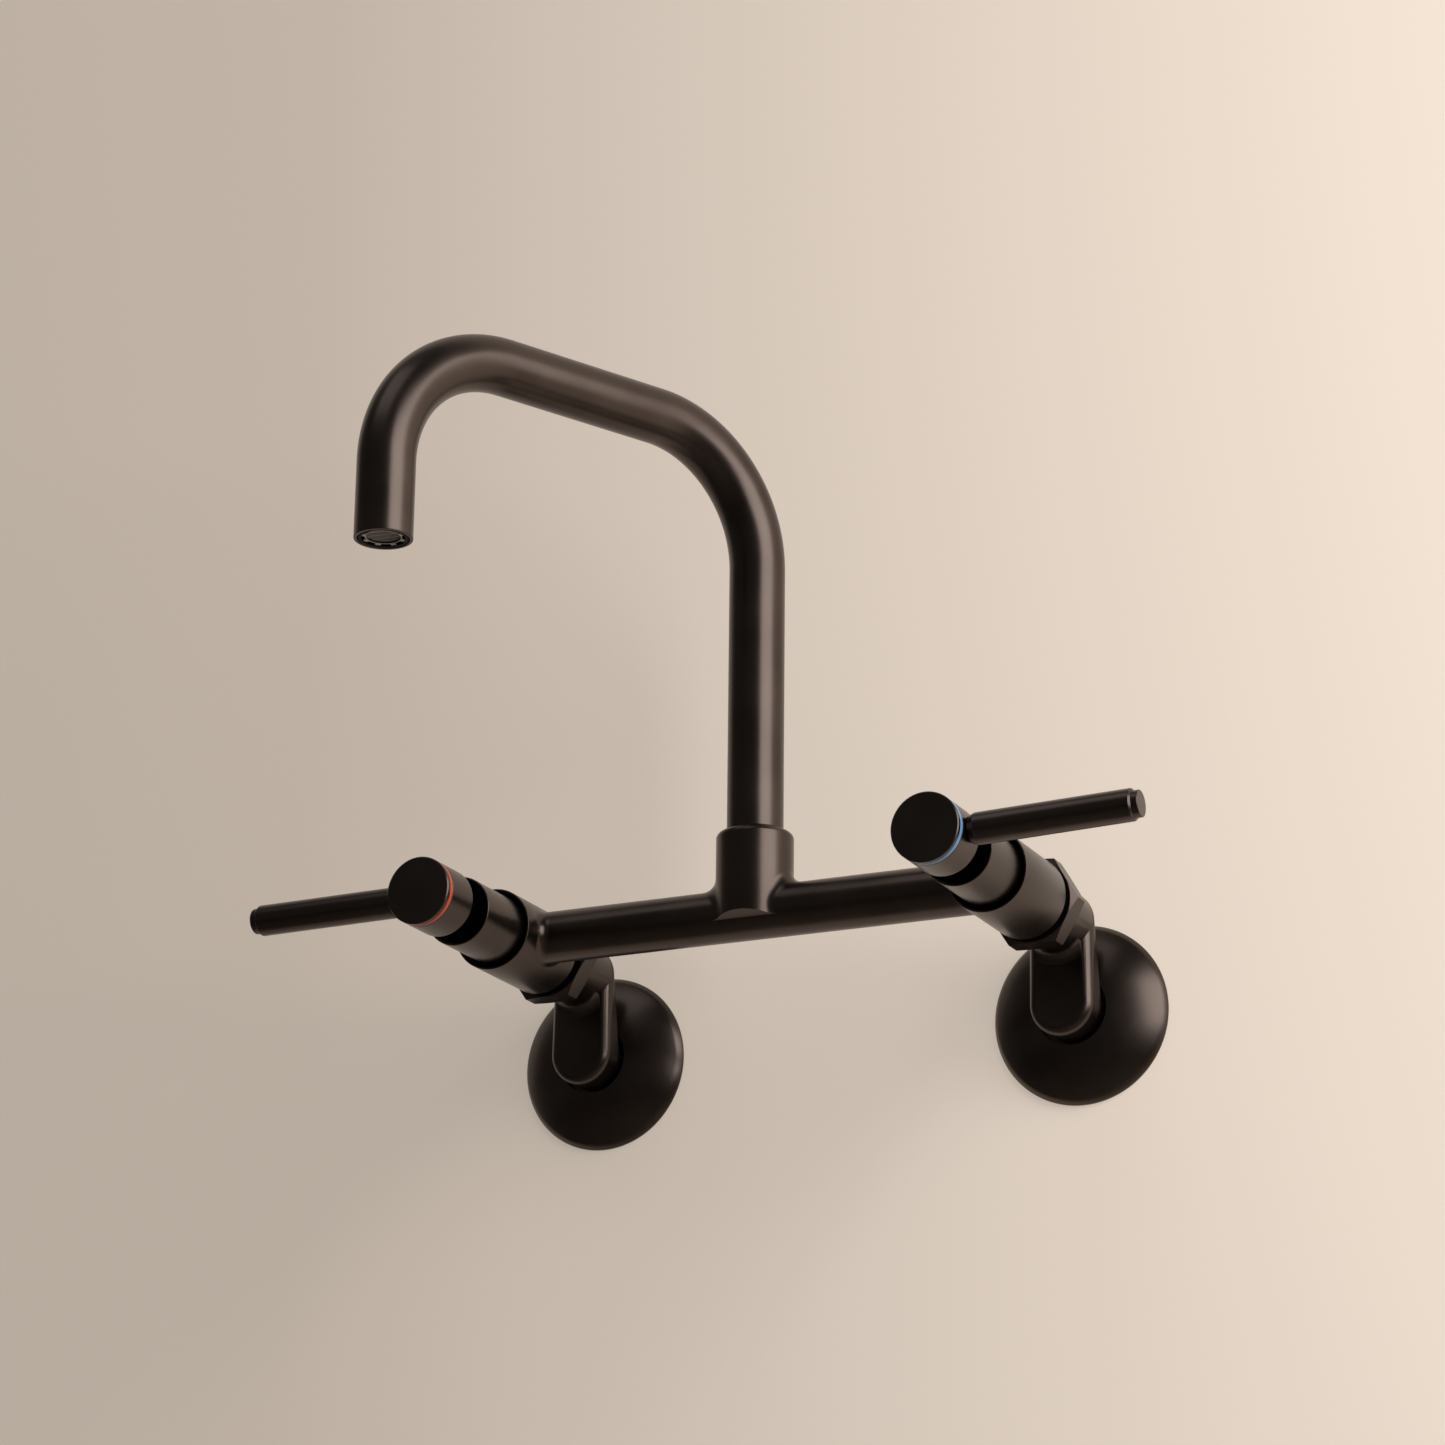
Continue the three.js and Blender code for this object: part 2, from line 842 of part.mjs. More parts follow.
function spindle() {
  const head = outward(
    [
      [0, driveBack],
      [drivePlate, driveBack],
      [drivePlate, driveBack + driveThickness],
      [stemRadius, driveBack + driveThickness],
      [stemRadius, stemFront],
      [0, stemFront],
    ],
    roundHidden,
  );
  const key = block(keyWidth, 2 * keyDepth, keyLength, 0, -driveBack, 0);
  const tapped = rod(screwRadius + slideGap, stemFront - screwLength, stemFront + past);
  return cut(join(head, key), ...discPorts(0, driveBack), outward(tapped, roundSmall));
}

function bonnet() {
  const wallBack = cupFloor - bonnetWall;
  const stemHole = stemRadius + slideGap;
  return outward(
    [
      [bonnetBore, bonnetBack],
      [bonnetRadius, bonnetBack],
      [bonnetRadius, bonnetFront - bonnetEdge],
      [bonnetRadius - bonnetEdge, bonnetFront],
      [cupRadius, bonnetFront],
      [cupRadius, cupFloor],
      [stemHole, cupFloor],
      [stemHole, wallBack],
      [bonnetBore, wallBack],
    ],
    roundLarge,
  );
}

// ---------- handles ----------

function hub(side) {
  const neckEnd = cupFloor + hubNeckGap;
  const stemHole = stemRadius + slideGap;
  const body = outward(
    [
      [stemHole, neckEnd],
      [hubNeckRadius, neckEnd],
      [hubNeckRadius, hubBack],
      [hubRadius - hubEdge, hubBack],
      [hubRadius, hubBack + hubEdge],
      [hubRadius, hubEnd],
      [plugRadius + slideGap, hubEnd],
      [plugRadius + slideGap, plugFloor],
      [screwRadius + slideGap, plugFloor],
      [screwRadius + slideGap, webBack],
      [stemHole, webBack],
    ],
    roundLarge,
  );
  const studHole = sideways(rod(studRadius + slideGap, studTip - seatGap, hubRadius + past), roundSmall);
  return body.subtract(studHole.scale([side, 1, 1]).translate([0, -leverOut, 0]));
}

function lever(side) {
  const tipBack = leverLength - leverTipLength;
  const bar = sideways(
    [
      [0, leverRootBack],
      [leverRootNarrow, leverRootBack],
      [leverRoot, leverTaperEnd - leverTaper],
      [leverRadius, leverTaperEnd],
      [leverRadius, tipBack - leverChamfer],
      [leverRadius - leverChamfer, tipBack],
      [leverTipRadius, tipBack],
      [leverTipRadius, leverLength - tipEdge],
      [leverTipRadius - tipEdge, leverLength],
      [0, leverLength],
    ],
    roundMain,
  );
  const clear = outward(rod(hubRadius + seatGap, -leverRadius - past, leverRadius + past), roundLarge);
  const stud = sideways(rod(studRadius, studTip, leverTaperEnd), roundSmall);
  return bar.subtract(clear).add(stud).scale([side, 1, 1]).translate([0, -leverOut, 0]);
}

function endCap() {
  return outward(
    [
      [plugRadius - plugWall, plugBack],
      [plugRadius, plugBack],
      [plugRadius, capBack],
      [hubRadius, capBack],
      [hubRadius, hubFront - capChamfer],
      [hubRadius - capChamfer, hubFront],
      [0, hubFront],
      [0, capBack + seatGap],
      [plugRadius - plugWall, capBack + seatGap],
    ],
    roundLarge,
  );
}

function handleScrew() {
  const back = plugFloor + seatGap;
  const screw = outward(
    [
      [0, stemFront - screwLength + past],
      [screwRadius, stemFront - screwLength + past],
      [screwRadius, back],
      [screwHeadRadius, back],
      [screwHeadRadius, back + screwHeadHeight],
      [0, back + screwHeadHeight],
    ],
    roundSmall,
  );
  const top = back + screwHeadHeight;
  return screw.subtract(outward(rod(screwRecess, top - screwRecess, top + past), 6));
}

// ---------- arms, nuts and flanges ----------

// Round end of the link, with a rounded edge at the front and, where it is given, at the back.
function linkEnd(back, backEdge) {
  const side = armRadius;
  const profile = [[0, back]];
  if (backEdge > 0) {
    for (let i = linkSteps; i >= 0; i -= 1) {
      const a = (Math.PI / 2) * (i / linkSteps);
      profile.push([side - backEdge * (1 - Math.cos(a)), back + backEdge * (1 - Math.sin(a))]);
    }
  } else {
    profile.push([side, back]);
  }
  for (let i = 0; i <= linkSteps; i += 1) {
    const a = (Math.PI / 2) * (i / linkSteps);
    profile.push([
      side - linkFrontEdge * (1 - Math.cos(a)),
      linkFront - linkFrontEdge * (1 - Math.sin(a)),
    ]);
  }
  profile.push([0, linkFront]);
  return outward(profile, roundLarge);
}

// Hollow corner between the flat face and the outlet, kept inside the face's outline.
function linkCorner() {
  const profile = [];
  for (let i = 0; i <= linkSteps; i += 1) {
    const a = (Math.PI / 2) * (i / linkSteps);
    profile.push([
      armRadius + linkFillet * (1 - Math.cos(a)),
      linkFront + linkFillet * (1 - Math.sin(a)),
    ]);
  }
  const ring = outward(
    [...profile, [armRadius + linkFillet, linkFront - past], [armBore + past, linkFront - past],
      [armBore + past, linkFront + linkFillet]],
    roundLarge,
  ).translate([0, 0, valveHeight]);
  const face = rod(armRadius - linkFrontEdge, linkFront - 2 * past, linkFront + linkFillet + past);
  const flat = outward(face, roundLarge);
  return ring.intersect(wasm.Manifold.hull([flat, flat.translate([0, 0, valveHeight])]));
}

// Offset link between the inlet at the wall and the outlet at the valve's height.
function arm() {
  const up = [0, 0, valveHeight];
  const link = wasm.Manifold.hull([
    linkEnd(linkBackLow, 0),
    linkEnd(linkBackHigh, linkBackEdge).translate(up),
  ]);
  const spigot = outward(
    [
      [0, armShoulder - past],
      [spigotRadius, armShoulder - past],
      [spigotRadius, snapBack - seatGap],
      [snapGrooveRadius, snapBack - seatGap],
      [snapGrooveRadius, snapGrooveEnd],
      [spigotRadius, snapGrooveEnd],
      [spigotRadius, spigotFront],
      [0, spigotFront],
    ],
    roundLarge,
  ).translate(up);
  const inlet = outward(rod(armRadius, armBack, linkBackLow + past), roundLarge);
  const outletFrom = linkFront - linkFrontEdge;
  const outlet = outward(rod(armRadius, outletFrom, armShoulder), roundLarge).translate(up);
  const channelEnd = outward(rod(armBore, channelFront - channelDepth, channelFront), roundHidden);
  const channelTop = outward(rod(armBore, linkBackHigh + linkBackEdge, channelFront), roundHidden);
  return cut(
    join(link, inlet, outlet, linkCorner(), spigot),
    outward(rod(inletBore, armBack - past, armBack + inletDepth), roundMain),
    outward(rod(armBore, armBack, channelFront), roundHidden),
    wasm.Manifold.hull([channelEnd, channelTop.translate(up)]),
    outward(rod(armBore, channelFront - past, spigotFront + past), roundHidden).translate(up),
  );
}

// Height of the flange's curved face at a radius.
function faceHeight(radius) {
  const chord = Math.hypot(flangeEdgeRadius - flangeHole, flangeFace - flangeEdge);
  const slope = Math.atan2(flangeFace - flangeEdge, flangeEdgeRadius - flangeHole);
  const start = slope - Math.asin(chord / (2 * flangeDome));
  const centre = flangeHole - flangeDome * Math.sin(start);
  const base = flangeFace - flangeDome * Math.cos(start);
  return base + Math.sqrt(flangeDome ** 2 - (radius - centre) ** 2);
}

function wallFlange() {
  const face = bow([flangeHole, flangeFace], [flangeEdgeRadius, flangeEdge], flangeDome, domeSteps);
  const lip = armRadius + slideGap;
  const groove = armRadius + tight + flangeRingGroove + tight;
  const ringFrontEdge = flangeRingBack + flangeRingWidth;
  const hubBase = flangeRingBack - flangeRingWidth / 2;
  const inside = bow(
    [flangeHub, faceHeight(flangeHub) - flangeWall],
    [flangeRadius - flangeSeat, faceHeight(flangeRadius - flangeSeat) - flangeWall],
    flangeDome,
    domeSteps,
  );
  return outward(
    [
      [flangeRadius, 0],
      [flangeRadius, flangeRim],
      ...face.reverse(),
      [flangeHole, flangeFace - flangeMouth],
      [lip, flangeFace - flangeMouth],
      [lip, ringFrontEdge],
      [groove, ringFrontEdge],
      [groove, flangeRingBack],
      [lip, flangeRingBack],
      [lip, hubBase],
      [flangeHub, hubBase],
      ...inside,
      [flangeRadius - flangeSeat, 0],
    ],
    roundLarge,
  );
}

function flangeSeal() {
  const inner = armRadius + tight;
  return outward(cord(inner, inner + flangeRingGroove, flangeRingBack + flangeRingWidth / 2), roundMain);
}

// Corners of the hexagon point sideways.
function unionNut() {
  const corner = nutFlats / Math.sqrt(3);
  const prism = solid(
    new THREE.CylinderGeometry(corner, corner, nutLength, 6)
      .rotateY(Math.PI / 2)
      .translate(0, -(nutBack + nutLength / 2), 0),
  );
  const backRadius = nutChamferRadius;
  const chamfers = outward(
    [
      [0, nutBack],
      [backRadius, nutBack],
      [corner + past / 2, nutBack + nutBackChamferRun + past / 2],
      [corner + past / 2, nutFront - nutChamferRun - past / 2],
      [nutChamferRadius, nutFront],
      [0, nutFront],
    ],
    roundLarge,
  );
  const bore = outward(
    [
      [0, nutBack - past],
      [spigotRadius + slideGap, nutBack - past],
      [spigotRadius + slideGap, nutBack + nutLip],
      [nutBore, nutBack + nutLip],
      [nutBore, nutFront + past],
      [0, nutFront + past],
    ],
    roundMain,
  );
  return prism.intersect(chamfers).subtract(bore);
}

// Spring ring with its gap at the bottom.
function snapRing() {
  const ring = outward(
    sleeve(snapGrooveRadius + tight, snapRadius, snapBack, snapBack + snapWidth),
    roundMain,
  );
  const middle = -Math.PI / 2;
  const gap = sector(
    snapGrooveRadius - past,
    snapRadius + past,
    middle,
    snapSpread,
    snapBack - past,
    snapBack + snapWidth + past,
  );
  return ring.subtract(gap);
}

// ---------- assembly ----------

function valveGroup(name, side) {
  const group = new THREE.Group();
  group.position.set((side * inletSpacing) / 2, 0, valveHeight);
  group.add(
    piece(`${name}_cartridge_shell`, cartridgeShell(), looks.brass),
    piece(
      `${name}_seat_seal`,
      outward(sleeve(sealInner, sealOuter, sealBack, sealBack + sealThickness), roundHidden),
      looks.rubber,
    ),
    piece(`${name}_cartridge_o_ring`, cartridgeSeal(), looks.rubber),
    piece(`${name}_fixed_disc`, fixedDisc(), looks.ceramic),
    piece(`${name}_bonnet`, bonnet(), looks.bronze),
  );
  return group;
}

function handleGroup(name, side, tilt, ringLook) {
  const group = new THREE.Group();
  group.position.set((side * inletSpacing) / 2, 0, valveHeight);
  group.rotation.y = THREE.MathUtils.degToRad(tilt);
  group.add(
    piece(`${name}_hub`, hub(side), looks.bronze),
    piece(`${name}_lever`, lever(side), looks.bronze),
    piece(
      `${name}_index_ring`,
      outward(sleeve(plugRadius + slideGap, hubRadius, ringBack, ringFront), roundLarge),
      ringLook,
    ),
    piece(`${name}_end_cap`, endCap(), looks.bronze),
    piece(`${name}_handle_screw`, handleScrew(), looks.steel),
    piece(`${name}_spindle`, spindle(), looks.brass),
    piece(`${name}_moving_disc`, movingDisc(), looks.ceramic),
  );
  return group;
}

function armGroup(name, side) {
  const group = new THREE.Group();
  group.position.set((side * inletSpacing) / 2, 0, 0);
  group.add(
    piece(`${name}_arm`, arm(), looks.bronze),
    piece(`${name}_flange`, wallFlange(), looks.bronze),
    piece(`${name}_flange_o_ring`, flangeSeal(), looks.rubber),
  );
  const union = new THREE.Group();
  union.position.z = valveHeight;
  union.add(
    piece(`${name}_union_nut`, unionNut(), looks.bronze),
    piece(`${name}_nut_snap_ring`, snapRing(), looks.steel),
    piece(
      `${name}_union_washer`,
      outward(sleeve(armBore + past, neckRadius - slideGap, washerBack, washerBack + unionWasher), roundHidden),
      looks.rubber,
    ),
  );
  group.add(union);
  return group;
}

const faucet = new THREE.Group();

const bridge = piece('bridge_body', bridgeBody(), looks.bronze);
bridge.position.z = valveHeight;
const grub = piece('spout_grub_screw', grubScrew(), looks.steel);
grub.position.set(0, -bridgeOut, valveHeight + grubHeight);
faucet.add(bridge, grub, spoutGroup());

faucet.add(valveGroup('hot', -1), valveGroup('cold', 1));
faucet.add(handleGroup('hot', -1, -hotTilt, looks.hotRing));
faucet.add(handleGroup('cold', 1, coldTilt, looks.coldRing));
faucet.add(armGroup('hot', -1), armGroup('cold', 1));

export default faucet;
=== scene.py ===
"""Dressed model of a wall-mounted bridge faucet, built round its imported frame."""

import json
import math

import bmesh
import bpy
from bpy.props import FloatProperty, FloatVectorProperty, IntProperty, PointerProperty
from bpy.types import Operator, Panel, PropertyGroup
from mathutils import Matrix, Vector


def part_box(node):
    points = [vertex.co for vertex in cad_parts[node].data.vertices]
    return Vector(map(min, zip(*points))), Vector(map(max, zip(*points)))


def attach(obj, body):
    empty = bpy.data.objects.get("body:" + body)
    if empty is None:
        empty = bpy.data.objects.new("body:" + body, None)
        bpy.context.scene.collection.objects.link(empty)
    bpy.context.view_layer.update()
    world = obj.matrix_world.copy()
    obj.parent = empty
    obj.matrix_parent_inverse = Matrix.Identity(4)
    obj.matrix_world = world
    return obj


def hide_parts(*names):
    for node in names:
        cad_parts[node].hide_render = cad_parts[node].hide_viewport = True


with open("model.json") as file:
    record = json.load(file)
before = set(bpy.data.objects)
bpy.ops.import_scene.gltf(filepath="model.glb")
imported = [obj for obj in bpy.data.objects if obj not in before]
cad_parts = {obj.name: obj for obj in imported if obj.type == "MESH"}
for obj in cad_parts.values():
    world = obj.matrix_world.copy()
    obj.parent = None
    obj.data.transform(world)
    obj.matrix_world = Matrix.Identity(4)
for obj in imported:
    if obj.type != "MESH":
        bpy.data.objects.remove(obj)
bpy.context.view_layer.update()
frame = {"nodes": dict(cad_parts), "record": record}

bl_info = {
    "name": "Bridge Faucet",
    "version": (1, 0, 0),
    "blender": (4, 5, 0),
    "location": "View3D > Sidebar > Faucet",
    "description": "Builds a wall-mounted bridge faucet with lever handles and a swivel spout",
    "category": "Object",
}

MM = 0.001
WALL_OUT = Vector((0, -1, 0))
UP = Vector((0, 0, 1))
SIDES = {"hot": -1, "cold": 1}

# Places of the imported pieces, in millimetres.
valve_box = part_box("cold_index_ring")
VALVE_X = (valve_box[0][0] + valve_box[1][0]) / 2 / MM
VALVE_Z = (valve_box[0][2] + valve_box[1][2]) / 2 / MM


# ---------- settings ----------


def length(name, description, default):
    """A size in the scene's units; the default is in millimetres."""
    return FloatProperty(
        name=name,
        description=description,
        default=default * MM,
        min=0,
        precision=5,
        unit="LENGTH",
        subtype="DISTANCE",
    )


class FaucetSizes(PropertyGroup):
    """Sizes of the parts that show."""

    body_radius: length("Body radius", "Outside radius of a valve body", 15.9)
    body_back: length("Body back", "From the wall to the back of a valve body", 57.5)
    body_length: length("Body length", "Length of a valve body", 40.2)
    bridge_out: length("Bridge distance", "From the wall to the bridge tube's axis", 77.8)
    bridge_radius: length("Bridge radius", "Outside radius of the bridge tube", 10.0)
    body_fillet: length("Body fillet", "Fillet from the bridge tube to a valve body", 4.0)
    socket_fillet: length("Socket fillet", "Fillet from the bridge tube to the socket", 6.0)
    socket_radius: length("Socket radius", "Outside radius of the spout socket", 14.8)
    socket_rise: length("Socket rise", "Socket top over the valve axis", 32.4)
    socket_shoulder: length("Socket shoulder", "Fall of the socket's top face", 1.9)
    socket_corner: length("Socket corner", "Rounding round the socket's top face", 2.6)
    socket_below: length("Socket edge", "Lower edge of the socket under the valve axis", 2.3)
    socket_fall: length("Socket fall", "Fall of the underside down to the tube's axis", 5.18)
    spout_radius: length("Spout radius", "Outside radius of the spout tube", 10.8)
    spout_wall: length("Spout wall", "Wall of the spout tube", 1.2)
    spout_bend: length("Spout bend", "Bend radius of the spout's centre line", 51.2)
    spout_reach: length("Spout reach", "From the riser to the outlet", 173.6)
    spout_top: length("Spout top", "Centre line of the level run over the valve axis", 189.3)
    outlet_drop: length("Outlet drop", "From that centre line down to the outlet", 81.4)
    bonnet_radius: length("Bonnet radius", "Outside radius of a bonnet", 13.4)
    bonnet_front: length("Bonnet front", "From the wall to a bonnet's front", 125.2)
    hub_radius: length("Hub radius", "Outside radius of a handle hub", 13.0)
    hub_back: length("Hub back", "From the wall to the back of a hub", 136.75)
    hub_front: length("Hub front", "From the wall to the face of the end cap", 156.0)
    lever_out: length("Lever distance", "From the wall to the levers' axes", 144.8)
    lever_radius: length("Lever radius", "Outside radius of a lever", 5.88)
    lever_length: length("Lever length", "From the valve axis to the lever's tip", 76.5)
    arm_radius: length("Arm radius", "Outside radius of a swing arm", 12.8)
    link_front: length("Link front", "From the wall to the link's flat face", 24.2)
    link_edge: length("Link edge", "Rounding round the link's flat face at the inlet", 3.6)
    link_edge_high: length("Link edge, high", "The same rounding at the outlet", 5.0)
    link_back_low: length("Link back, low", "From the wall to the link at the inlet", 13.4)
    link_back_high: length("Link back, high", "From the wall to the link at the outlet", 17.8)
    link_back_edge: length("Link back edge", "Rounding of the link's upper back", 1.4)
    link_fillet: length("Link fillet", "Fillet from the flat face to the outlet", 4.6)
    nut_flats: length("Nut flats", "Distance across a union nut's flats", 32.0)
    nut_back: length("Nut back", "From the wall to the back of a nut", 43.5)
    nut_length: length("Nut length", "Length of a union nut", 9.6)
    flange_radius: length("Flange radius", "Outside radius of a wall flange", 35.05)
    flange_rim: length("Flange rim", "Height of the flange's straight rim", 0.8)
    flange_edge: length("Flange edge", "Height of the edge round the curved face", 2.7)
    flange_edge_radius: length("Flange edge radius", "Radius of that edge", 33.9)
    flange_dome: length("Flange dome", "Radius of the curved face", 50.0)
    flange_face: length("Flange face", "From the wall to the flange's inner edge", 11.8)
    flange_hole: length("Flange hole", "Radius of the flange's hole", 14.2)
    facets: IntProperty(
        name="Facets",
        description="Faces round a full circle",
        default=96,
        min=16,
        max=256,
    )


def colour(name, description, default):
    """A colour setting."""
    return FloatVectorProperty(
        name=name,
        description=description,
        default=default,
        size=3,
        min=0,
        max=1,
        subtype="COLOR",
    )


def factor(name, description, default):
    """A plain number from nothing up to one."""
    return FloatProperty(name=name, description=description, default=default, min=0, max=1)


class FaucetFinish(PropertyGroup):
    """Colours and surface of the finishes."""

    bronze: colour("Bronze", "Dark bronze of the metal that shows", (0.070, 0.056, 0.050))
    bronze_light: colour("Bronze, thin", "Bronze where the coat is thinner", (0.088, 0.071, 0.063))
    bronze_roughness: factor("Bronze roughness", "Roughness of the satin bronze", 0.3)
    # Painted shade: near-black bronze for faces deep in gaps, bores and grooves, where shade
    # falls.
    recess: colour("Recess", "Bronze deep in gaps and grooves", (0.004, 0.0035, 0.003))
    hot_ring: colour("Hot ring", "Colour of the hot index ring", (0.72, 0.1, 0.05))
    cold_ring: colour("Cold ring", "Colour of the cold index ring", (0.2, 0.42, 0.8))
    brass: colour("Brass", "Bare turned brass", (0.62, 0.47, 0.22))
    steel: colour("Steel", "Plain steel", (0.55, 0.56, 0.58))
    ceramic: colour("Ceramic", "Lapped ceramic discs", (0.85, 0.84, 0.8))
    rubber: colour("Rubber", "Seals and washers", (0.02, 0.02, 0.02))
    nylon: colour("Nylon", "Glide washer", (0.75, 0.72, 0.65))
    aerator: colour("Aerator", "Moulded aerator housing", (0.8, 0.77, 0.73))
    screen: colour("Screen", "Wires of the aerator's screen", (0.85, 0.83, 0.79))


class FaucetStudio(PropertyGroup):
    """Light and backdrop."""

    wall: colour("Wall", "Colour of the backdrop behind the faucet", (0.66, 0.57, 0.48))
    floor: colour("Floor", "Colour of the floor", (0.36, 0.33, 0.3))
    sky: colour("Room", "Light of the room all round", (0.5, 0.47, 0.44))
    # Painted light on the wall: a glow seen by the camera and in reflections, brighter towards the
    # right where the key light falls, not light from behind the wall.
    wall_glow: colour("Wall glow", "Light from behind the pale wall", (0.44, 0.385, 0.335))
    key_power: FloatProperty(
        name="Key light",
        description="Power of the soft light at the right",
        default=15,
        unit="POWER",
    )
    fill_power: FloatProperty(
        name="Fill light",
        description="Power of the broad overhead light",
        default=4.5,
        unit="POWER",
    )
    room_light: factor("Room light", "Strength of the light all round", 0.17)


# ---------- shape helpers, all in millimetres ----------

BEND_STEP = 2.2


def sizes():
    """The size settings as millimetres."""
    group = bpy.context.scene.faucet_sizes
    names = [n for n in FaucetSizes.__annotations__ if n != "facets"]
    found = {n: getattr(group, n) / MM for n in names}
    found["facets"] = group.facets
    return type("Sizes", (), found)


def outline(corners, steps=5):
    """Profile from (radius, distance) corners; a third value rounds a corner by that radius."""
    points = []
    for i, corner in enumerate(corners):
        here = Vector(corner[:2])
        if len(corner) == 2:
            points.append(here)
            continue
        back = (Vector(corners[i - 1][:2]) - here).normalized()
        ahead = (Vector(corners[(i + 1) % len(corners)][:2]) - here).normalized()
        half = back.angle(ahead) / 2
        run = corner[2] / math.tan(half)
        centre = here + (back + ahead).normalized() * corner[2] / math.sin(half)
        start, end = here + back * run - centre, here + ahead * run - centre
        points += [centre + start.slerp(end, k / steps) * corner[2] for k in range(steps + 1)]
    return points


def turned(corners, at, axis, facets, steps=5):
    """Solid of revolution about an axis through a point. Profile distances run along the axis.

    A profile that starts and ends on the axis is a full solid, any other closes on itself.
    """
    bm = bmesh.new()
    axis = Vector(axis)
    across = axis.orthogonal().normalized()
    points = outline(corners, steps)
    verts = [bm.verts.new(Vector(at) + across * r + axis * d) for r, d in points]
    edges = [bm.edges.new(pair) for pair in zip(verts, verts[1:])]
    if points[0][0] > 0 or points[-1][0] > 0:
        edges.append(bm.edges.new((verts[-1], verts[0])))
    bmesh.ops.spin(
        bm,
        geom=verts + edges,
        cent=Vector(at),
        axis=axis,
        angle=2 * math.pi,
        steps=facets,
        use_merge=True,
    )
    return sound(bm)


def sound(bm):
    """Merges doubles and turns every face outwards."""
    bmesh.ops.remove_doubles(bm, verts=bm.verts, dist=1e-4)
    bmesh.ops.dissolve_degenerate(bm, edges=bm.edges, dist=1e-5)
    bmesh.ops.recalc_face_normals(bm, faces=bm.faces)
    return bm


def rod(radius, start, end):
    """Profile of a plain rod."""
    return [(0, start), (radius, start), (radius, end), (0, end)]


def ring(inner, outer, start, end, soft=0.0):
    """Profile of a plain ring, with its edges rounded."""
    corners = [(inner, start), (outer, start), (outer, end), (inner, end)]
    return [(*corner, soft) for corner in corners] if soft else corners


def pipe(at, heading, towards, radius, moves, facets):
    """Skin of a tube in one plane: ("run", length) or ("bend", radius, degrees) moves.

    Bends turn towards a direction. Both ends stay open.
    """
    bm = bmesh.new()
    at, heading, towards = Vector(at), Vector(heading), Vector(towards)
    side = heading.cross(towards)
    place = Matrix.Translation(at) @ heading.to_track_quat("Z", "Y").to_matrix().to_4x4()
    bmesh.ops.create_circle(bm, segments=facets, radius=radius, matrix=place)
    rim = list(bm.edges)
    for move in moves:
        if move[0] == "run":
            grown = bmesh.ops.extrude_edge_only(bm, edges=rim)["geom"]
            rim = [g for g in grown if isinstance(g, bmesh.types.BMEdge)]
            rim = [e for e in rim if len(e.link_faces) == 1]
            moved = {v for e in rim for v in e.verts}
            bmesh.ops.translate(bm, verts=list(moved), vec=heading * move[1])
            at = at + heading * move[1]
            continue
        _, bend, degrees = move
        centre = at + towards * bend
        turn = math.radians(degrees)
        steps = round(turn * bend / BEND_STEP)
        grown = bmesh.ops.spin(
            bm, geom=rim, cent=centre, axis=side, angle=turn, steps=steps
        )["geom_last"]
        rim = [g for g in grown if isinstance(g, bmesh.types.BMEdge)]
        spin = Matrix.Rotation(turn, 3, side)
        at = centre + spin @ (at - centre)
        heading, towards = spin @ heading, spin @ towards
    return bm


def capped(bm):
    """Closes any opening that is left in a skin."""
    ends = [e for e in bm.edges if len(e.link_faces) == 1]
    bmesh.ops.holes_fill(bm, edges=ends, sides=0)
    return sound(bm)


def block(width, depth, height, at):
    """Plain cutting block."""
    bm = bmesh.new()
    size = Matrix.Diagonal((width, depth, height, 1))
    bmesh.ops.create_cube(bm, size=1, matrix=Matrix.Translation(Vector(at)) @ size)
    return bm


def rounded(bm, edges, radius, segments=3):
    """Rounds some edges of a shape."""
    bmesh.ops.bevel(
        bm,
        geom=edges,
        offset=radius,
        offset_type="OFFSET",
        affect="EDGES",
        segments=segments,
        profile=0.5,
        material=-1,
    )


def skinned(bm, name):
    """Mesh from a shape, which is used up."""
    mesh = bpy.data.meshes.new(name)
    bm.to_mesh(mesh)
    bm.free()
    return mesh


def linked(name, data):
    """New object in the scene."""
    obj = bpy.data.objects.new(name, data)
    bpy.context.scene.collection.objects.link(obj)
    return obj


def combined(base, *tools):
    """Joins to, cuts from or intersects with a solid, in the order given."""
    first = linked("base_shape", skinned(base, "base_shape"))
    made = [first]
    for operation, shape in tools:
        tool = linked("tool_shape", skinned(shape, "tool_shape"))
        made.append(tool)
        change = first.modifiers.new("change", "BOOLEAN")
        change.operation = operation
        change.solver = "EXACT"
        change.object = tool
    graph = bpy.context.evaluated_depsgraph_get()
    mesh = bpy.data.meshes.new_from_object(first.evaluated_get(graph))
    bm = bmesh.new()
    bm.from_mesh(mesh)
    bpy.data.meshes.remove(mesh)
    for obj in made:
        shape = obj.data
        bpy.data.objects.remove(obj)
        bpy.data.meshes.remove(shape)
    return sound(bm)


def hulled(points):
    """Convex skin round some points."""
    bm = bmesh.new()
    for point in points:
        bm.verts.new(point)
    bmesh.ops.convex_hull(bm, input=bm.verts)
    loose = [v for v in bm.verts if not v.link_faces]
    bmesh.ops.delete(bm, geom=loose, context="VERTS")
    bmesh.ops.dissolve_limit(bm, angle_limit=math.radians(0.05), verts=bm.verts, edges=bm.edges)
    return sound(bm)


def corners_of(*shapes):
    """The points of some shapes, which are used up."""
    points = [v.co.copy() for shape in shapes for v in shape.verts]
    for shape in shapes:
        shape.free()
    return points


def bowed(start, end, radius, steps=16):
    """Arc between two profile points that bulges away from the axis and from the wall."""
    start, end = Vector(start), Vector(end)
    half = math.asin((end - start).length / (2 * radius))
    first = math.atan2(start.y - end.y, end.x - start.x) - half
    points = []
    for k in range(steps + 1):
        a = first + 2 * half * k / steps
        run = radius * (math.sin(a) - math.sin(first))
        rise = radius * (math.cos(a) - math.cos(first))
        points.append((start.x + run, start.y + rise))
    return points


